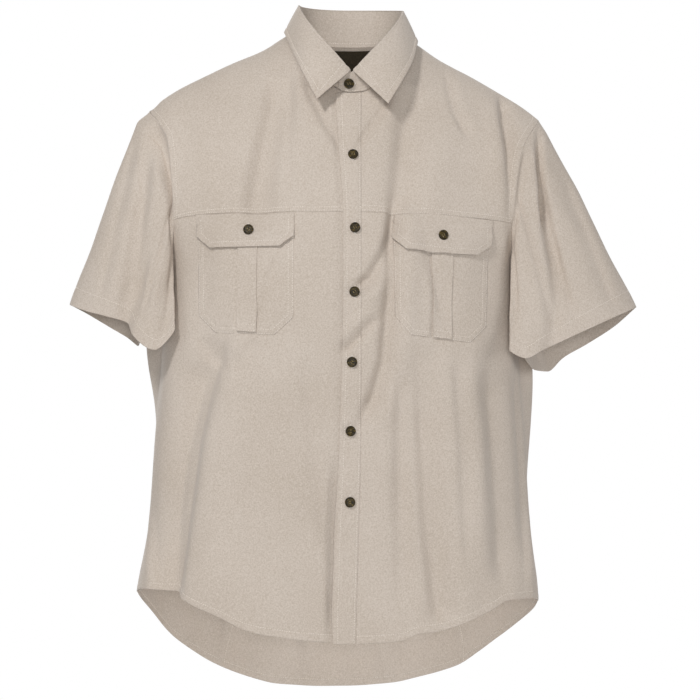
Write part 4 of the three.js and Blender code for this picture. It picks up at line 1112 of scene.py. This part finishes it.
def clear_of_body(points, side):
    z = points[..., 2]
    need = SLEEVE_CLEAR * smooth((ARMPIT - z) / 12)
    centre = np.stack([middle_at(z), 0 * z, z], -1)

    def angle_of(p):
        return np.arctan2(side * (p[..., 0] - centre[..., 0]), -p[..., 1])

    goal = angle_of(points)
    low, high = np.zeros(z.shape), np.full(z.shape, 180.0)
    for _ in range(HALVINGS):
        turn = (low + high) / 2
        less = angle_of(ring_point(side, turn, z)) < goal
        low, high = np.where(less, turn, low), np.where(less, high, turn)
    reach = np.linalg.norm(ring_point(side, low, z) - centre, axis=-1) + need * CLEAR_SLANT
    out = points - centre
    moved = centre + unit(out) * reach[..., None]
    return np.where(((need > 0) & (np.linalg.norm(out, axis=-1) < reach))[..., None], moved, points)


def sleeve_grid(name, side, w):
    points, turn, out = armhole_ring(side)
    hem = {
        key: np.concatenate([values[-2:] - (key == "turn"), values, values[:3] + (key == "turn")])
        for key, values in SLEEVE_HEM[name].items()
    }
    to = np.stack([column(hem, "turn", turn, key) for key in "xyz"], -1)
    fold = SLEEVE_FOLDS[name]

    def rows(gaps):
        start = points + out * gaps[:, None]
        grid = start + (to - start) * w[..., None]
        top = np.maximum(0, np.cos(2 * np.pi * turn))
        cap = SLEEVE_CAP[name] * smooth(w / SLEEVE_CAP["full"]) * (1 - w) * top
        grid = grid + cap[..., None] * np.array([side * SLEEVE_CAP["out"], 0, SLEEVE_CAP["up"]])
        near = bell(turn - mix(fold["start"], fold["turn"], w), fold["width"])
        grid[..., 1] += fold["depth"] * near * smooth((w - fold["from"]) / 0.4)
        return np.where((w > 0)[..., None], clear_of_body(grid, side), grid)

    draft = rows(np.full(len(turn), SLEEVE_GAP))
    outward = grid_normals(draft, True) * side
    grid = rows(SLEEVE_GAP + np.maximum(0, CLOTH * (outward[0] * out).sum(-1)))
    return grid, grid_normals(grid, True) * side, turn


SLEEVE_ROUND, SLEEVE_FALL = 430.0, 230.0
SLEEVE_DEEPEST = -2.5
SLEEVE_MIDDLE = 20
w = 1 - shares(250, SLEEVE_EDGE, 74)[::-1, None]
for name, side in SIDES.items():
    points, normals, turn = sleeve_grid(name, side, w)
    creases = [
        (tuple((t * SLEEVE_ROUND, -d * SLEEVE_FALL) for t, d in run), depth, wide, ridge)
        for run, depth, wide, ridge in SLEEVE_CREASES[name]
    ]
    across, down = turn * SLEEVE_ROUND * np.ones(w.shape), -w * SLEEVE_FALL * np.ones(turn.shape)
    depth = sum(fold_depth(creases, across + shift, down) for shift in (-SLEEVE_ROUND, 0, SLEEVE_ROUND))
    depth = depth + 0.8 * waviness(across, down * 2)
    calm = smooth(w * 9) * smooth((1 - w) * 20 + 0.4)
    valley = SEAM_VALLEY[name]
    here = smooth((turn - valley["from"]) / 0.06) * smooth((valley["to"] - turn) / 0.06)
    sunk = valley["deep"] * here * bell(w - valley["at"], valley["wide"]) * smooth(w / 0.02)
    points = points - normals * (np.maximum(depth, SLEEVE_DEEPEST) * calm + sunk)[..., None]
    normals = grid_normals(points, True) * side
    from_hem = lengths(points[::-1], 0)[::-1]
    relief = hem_relief(from_hem, SLEEVE_IN, 0.3) + pucker("sleeve", across, from_hem - SLEEVE_IN, side)
    node = f"sleeve_{name}"
    sew(node, points, normals, relief, nearest(from_hem[:, SLEEVE_MIDDLE], SLEEVE_IN), closed=True)
    shell(node, points, normals, relief, relief - CLOTH, True, (across, -from_hem))


# The collar runs from the wearer's right front by the back to the left front
NECK_ROUND = {"front": 40, "back": 60, "tab": 12}


def collar_places():
    """At each place: its side, degrees round from that shoulder (-90 back, 90 front) and its foot."""
    places = []

    def put(side, feet, facing=1):
        for foot in feet:
            turn = math.degrees(math.acos(min(1, max(-1, side * foot[0] / NECK["half"]))))
            places.append((side, turn * facing, foot))

    def foot_at(side, t):
        return front_grid(side, np.array([0.0]), [3 + t])[0][0, 0]

    right, left = ([foot_at(side, t) for t in np.linspace(0, 1, NECK_ROUND["front"])] for side in (-1, 1))
    top = back_grid(np.linspace(-NECK_SHARE, NECK_SHARE, NECK_ROUND["back"]), [3.0])[0][0]
    put(-1, right[:-1])
    for side in (-1, 1):
        put(side, [foot for foot in top if side * foot[0] > 0.01], -1)
    put(1, left[:-1][::-1])
    start = column(PLACKET, "height", NECK["front"], "sewn")
    for x in np.linspace(start, -STAND_TAB["left"], NECK_ROUND["tab"])[1:]:
        put(1, [foot_at(-1, math.asin((start - x) / (start + NECK["half"])) * 2 / math.pi)])
    return (np.array([place[k] for place in places]) for k in range(3))


def lap_at(side, turn):
    return np.where(side > 0, STAND_TAB["over"] * smooth((turn - STAND_TAB["from"]) / STAND_TAB["ramp"]), 0)


def fold_point(side, turn):
    angle = np.radians(turn)
    top = mix(by_side(side, FOLD), FOLD["centre"], np.maximum(0, -np.sin(angle)))
    x = FOLD["middle"] * smooth(turn / 90) + side * FOLD["half"] * np.cos(angle)
    ahead = FOLD["front"] * np.sin(np.minimum(angle, np.pi / 2))
    y = np.where(turn <= 0, -FOLD["back"] * np.sin(angle), ahead)
    z = mix(top, FOLD["fall"], np.clip(turn / 90, 0, 1) ** FOLD["ease"])
    return np.stack([x, y - lap_at(side, turn), z], -1)


def stand_points(side, turn, foot, ups):
    low = foot + np.stack([0 * turn, -lap_at(side, turn), 0 * turn + SEAM_LIFT], -1)
    high = fold_point(side, turn) - np.array([0, 0, STAND_DROP])
    return low + (high - low) * np.asarray(ups)[:, None, None]


def leaf_points(side, turn, downs):
    angle = np.radians(np.minimum(turn, 90))
    away = np.stack([side * np.cos(angle) / FOLD["half"], np.sin(angle) / FOLD["front"], 0 * angle], -1)
    away = unit(away)
    downs = downs[:, None]
    roll = np.pi / 2 * np.clip(1 + downs / LEAF_ROLL["share"], 0, 1)
    head = fold_point(side, turn) + away * (LEAF_ROLL["out"] * np.sin(roll))[..., None]
    head[..., 2] += LEAF_ROLL["out"] * np.cos(roll)
    edge = np.stack([
        side * side_column(LEAF_EDGE, "turn", turn, side),
        column(LEAF_EDGE, "turn", turn, "y") - lap_at(side, turn),
        side_column(LEAF_EDGE, "turn", turn, side, "Z"),
    ], -1)
    arch = mix(LEAF_ARCH["side"], LEAF_ARCH["front"], smooth(np.abs(turn) / 60))
    down = np.clip(downs, 0, 1)
    out = arch * np.sin(np.pi * down ** LEAF_ARCH["peak"])
    return head + (edge - head) * down[..., None] + away * out[..., None]


stand_side, stand_turn, stand_foot = collar_places()
points = stand_points(stand_side, stand_turn, stand_foot, shares(44, EDGE, 14))
normals = -grid_normals(points)
shell("collar_stand", points, normals, 0, -1.0)
sew("collar_stand", points, normals, 0.05, (2, stand_side > 0))
sew("collar_stand", points, normals, -1.0, (3, stand_turn < 0), -1)

LEAF_THICK = 1.1
end = 90 - math.degrees(LEAF_END / FOLD["half"])
right_turns = end - spread(0, 80, LEAF_SIDE_EDGE, 46)
half = np.concatenate([right_turns, np.linspace(right_turns[-1], -90, 76)[1:]])
leaf_side = np.repeat([-1.0, 1.0], [len(half) - 1, len(half)])
leaf_turn = np.concatenate([half[:-1], half[::-1]])
downs = np.concatenate([[-0.1, -0.075, -0.05, -0.025], shares(54, LEAF_LOW_EDGE, 16)])
points = leaf_points(leaf_side, leaf_turn, downs)
normals = grid_normals(points)
if normals[len(downs) // 2, 0, 1] > 0:
    normals = -normals
from_edge, from_right = lengths(points[::-1], 0)[::-1], lengths(points, 1)
from_left = from_right[:, -1:] - from_right
from_outline = np.minimum(np.minimum(from_edge, from_right), from_left)
relief = hem_relief(from_outline, LEAF_IN, dip=0.55)
relief = relief + pucker("leaf", from_right + from_edge, from_outline - LEAF_IN)
row = nearest(from_edge[:, 30], LEAF_IN)
sew("collar_leaf", points, normals, relief, np.s_[row, 5:-5])
for k in (5, -6):
    sew("collar_leaf", points, normals, relief, np.s_[4:row + 1, k])
shell("collar_leaf", points, normals, relief, relief - LEAF_THICK)

# Buttons: a turned disc with a rim and four holes, sewn with two bars of thread
BUTTON_ROUND = 56
HOLES = {"deep": 1.3, "edge": 0.16, "ramp": 0.32, "within": 3.2}
SLIT = {"length": 15.0, "pitch": 0.62, "off": 0.75}
# The bars of thread by length, width and height: through the holes, along a slit and at its ends
HOLE_BAR, SLIT_BAR, END_BAR = (3.6, 0.42, 0.4), (1.2, 0.55, 0.34), (2.8, 0.5, 0.4)


def button_mesh():
    radius, height, rim, dish, hole, apart = BUTTON.values()
    radii = np.concatenate([
        np.linspace(0, HOLES["within"], 15), np.linspace(HOLES["within"], radius - rim * 1.6, 4)[1:],
    ])
    profile = [
        (radius - rim * 1.3, height - dish * 0.55), (radius - rim, height - 0.05),
        (radius - rim * 0.65, height), (radius - rim * 0.3, height - 0.12),
        (radius - 0.08, height * 0.72), (radius, height * 0.5),
        (radius - 0.1, height * 0.28), (radius * 0.86, 0.05), (radius * 0.8, 0),
    ]
    vertices = [(0, 0, height - dish)]
    rings = [(r, height - dish) for r in radii[1:]] + profile
    for k, (r, h) in enumerate(rings):
        for angle in np.arange(BUTTON_ROUND) * 2 * np.pi / BUTTON_ROUND:
            x, y = r * math.cos(angle), r * math.sin(angle)
            to_hole = math.hypot(abs(x) - apart, abs(y) - apart) - hole + HOLES["edge"]
            deep = HOLES["deep"] * float(1 - smooth(to_hole / HOLES["ramp"])) if k < len(radii) - 1 else 0
            vertices.append((x, y, h - deep))
    faces = [[0, 1 + j, 1 + (j + 1) % BUTTON_ROUND] for j in range(BUTTON_ROUND)]
    faces += [[a, d, c, b] for a, b, c, d in tube_faces(1, len(rings), BUTTON_ROUND)]
    faces.append([len(vertices) - 1 - j for j in range(BUTTON_ROUND)])
    return np.array(vertices), faces


button_vertices, button_faces = button_mesh()


def put_button(node, place, normal, turn):
    """A button on a place, with the thread through its holes."""
    across = unit(np.cross((0.0, 0.0, 1.0), normal))
    up = np.cross(normal, across)
    c, s = math.cos(turn), math.sin(turn)
    basis = np.stack([across * c + up * s, up * c - across * s, normal])
    new_piece(node, "horn", button_vertices @ basis + place, button_faces, horn)
    high = BUTTON["height"] - BUTTON["dish"] - 0.1
    for k in (-1, 1):
        for shift in (-0.22, 0.22):
            middle = place + basis[0] * (k * BUTTON["spread"] + shift) + normal * high
            sewing[node].bar(middle, basis[1], normal, *HOLE_BAR)


def buttonhole(threads, place, along, normal):
    """A slit bound with close stitches across it."""
    across = np.cross(normal, along)
    count = int(SLIT["length"] / SLIT["pitch"])
    for k in range(count):
        share = (k + 0.5) / count - 0.5
        for edge in (-1, 1):
            middle = place + along * (share * SLIT["length"]) + across * (edge * SLIT["off"])
            threads.bar(middle, across, normal, *SLIT_BAR)
    for end in (-0.5, 0.5):
        for shift in (-0.25, 0.25):
            threads.bar(place + along * (end * SLIT["length"] + shift), across, normal, *END_BAR)


def fasten(node, cloth, place, normal, along, lifts, turn):
    """A button over its buttonhole, each lifted off the surface below by its own height."""
    buttonhole(sewing[cloth], place + normal * lifts[0], along, normal)
    put_button(node, place + normal * lifts[1], normal, turn)


fastened = [
    (f"button_{k + 1}", "placket", -1, place, (1.45, 1.9), 0.35 * k) for k, place in enumerate(BUTTONS)
]
for name, side in SIDES.items():
    place = POCKETS[name]["button"]
    fastened.append((f"flap_button_{name}", f"pocket_flap_{name}", side, place, (3.5, 3.9), 0.6 * side))
for node, cloth, side, place, lifts, turn in fastened:
    x, z = np.array(place, float)[:, None]
    point, normal = (a[0] for a in on_front(side, x, z))
    fasten(node, cloth, point, normal, unit(np.cross(normal, (1.0, 0.0, 0.0))), lifts, turn)

tab = int(np.argmin(np.abs(stand_foot[:, 0] - STAND_BUTTON[0]) + 1000 * (stand_side < 0)))
by_tab = slice(tab, tab + 2)
share = (STAND_BUTTON[1] - NECK["front"]) / (FOLD["fall"] - NECK["front"])
pair = stand_points(stand_side[by_tab], stand_turn[by_tab], stand_foot[by_tab], [share, 1])
normal = unit(np.cross(pair[0, 1] - pair[0, 0], pair[1, 0] - pair[0, 0]))
normal = normal if normal[1] < 0 else -normal
fasten("button_0", "collar_stand", pair[0, 0], normal, unit(pair[0, 1] - pair[0, 0]), (0.1, 0.5), 0.2)

for node, threads in sewing.items():
    new_piece(node, "sewing", threads.vertices, threads.faces, button_thread if "button" in node else thread)
for (node, kind), piece in made.items():
    "button" if kind == "horn" else "label" if "label" in node else "cloth"

# Stage, light and camera
FLOOR = {"radius": 1.2, "low": -0.95, "round": 96, "tone": 0.8, "roughness": 0.9}
WORLD_STRENGTH = {"To Min": 0.25, "To Max": 1.0}
AIM, INSIDE_AIM = (0, 0, -0.35), (0, 0.13, -0.8)
# Square lamps by place, size, power and the point they face
LAMPS = {
    "key": ((-0.9, -2.05, 1.3), 0.35, 32, AIM),
    "fill": ((0.3, -8.0, -0.2), 1.6, 195, AIM),
    "left": ((-3.0, -0.7, 0.0), 1.4, 7, AIM),
    "right": ((3.0, -0.7, 0.0), 1.4, 19, AIM),
    "inside": ((0.0, 0.0, -0.56), 0.1, 0.22, INSIDE_AIM),
    "back": ((-1.4, 3.4, 0.6), 1.4, 72, AIM),
    "rim": ((0.4, 2.6, 2.4), 2.0, 30, AIM),
}

angles = np.arange(FLOOR["round"]) * 2 * np.pi / FLOOR["round"]
ring = [(FLOOR["radius"] * math.cos(a), FLOOR["radius"] * math.sin(a), FLOOR["low"]) for a in angles]
floor_mesh = bpy.data.meshes.new("floor")
floor_mesh.from_pydata(ring, [], [list(range(len(ring)))])
pale = bpy.data.materials.new("pale_floor")
pale.use_nodes = True
shade = pale.node_tree.nodes["Principled BSDF"]
fill(pale.node_tree, shade, {"Base Color": (*[FLOOR["tone"]] * 3, 1), "Roughness": FLOOR["roughness"]})
floor_mesh.materials.append(pale)
added("floor", floor_mesh)

world = bpy.data.worlds.new("studio")
bpy.context.scene.world = world
world.use_nodes = True
tree = world.node_tree
seen = tree.nodes.new("ShaderNodeLightPath").outputs["Is Camera Ray"]
strength = add(tree, "ShaderNodeMapRange", WORLD_STRENGTH | {"Value": seen})
fill(tree, tree.nodes["Background"], {"Color": (1, 1, 1, 1), "Strength": strength})

for name, (place, size, power, aim) in LAMPS.items():
    data = bpy.data.lights.new(name, "AREA")
    data.size = size
    data.energy = power
    lamp = added(name, data)
    lamp.location = place
    lamp.rotation_euler = (Vector(aim) - Vector(place)).to_track_quat("-Z", "Y").to_euler()

data = bpy.data.cameras.new("camera")
data.sensor_width = 36
data.lens = 147.5
data.clip_end = 100
camera = added("camera", data)
camera.location = (-0.00122, -3.56, -0.366)
camera.rotation_euler = (math.pi / 2, 0, 0)
bpy.context.scene.camera = camera
bpy.context.scene.view_settings.view_transform = "Standard"
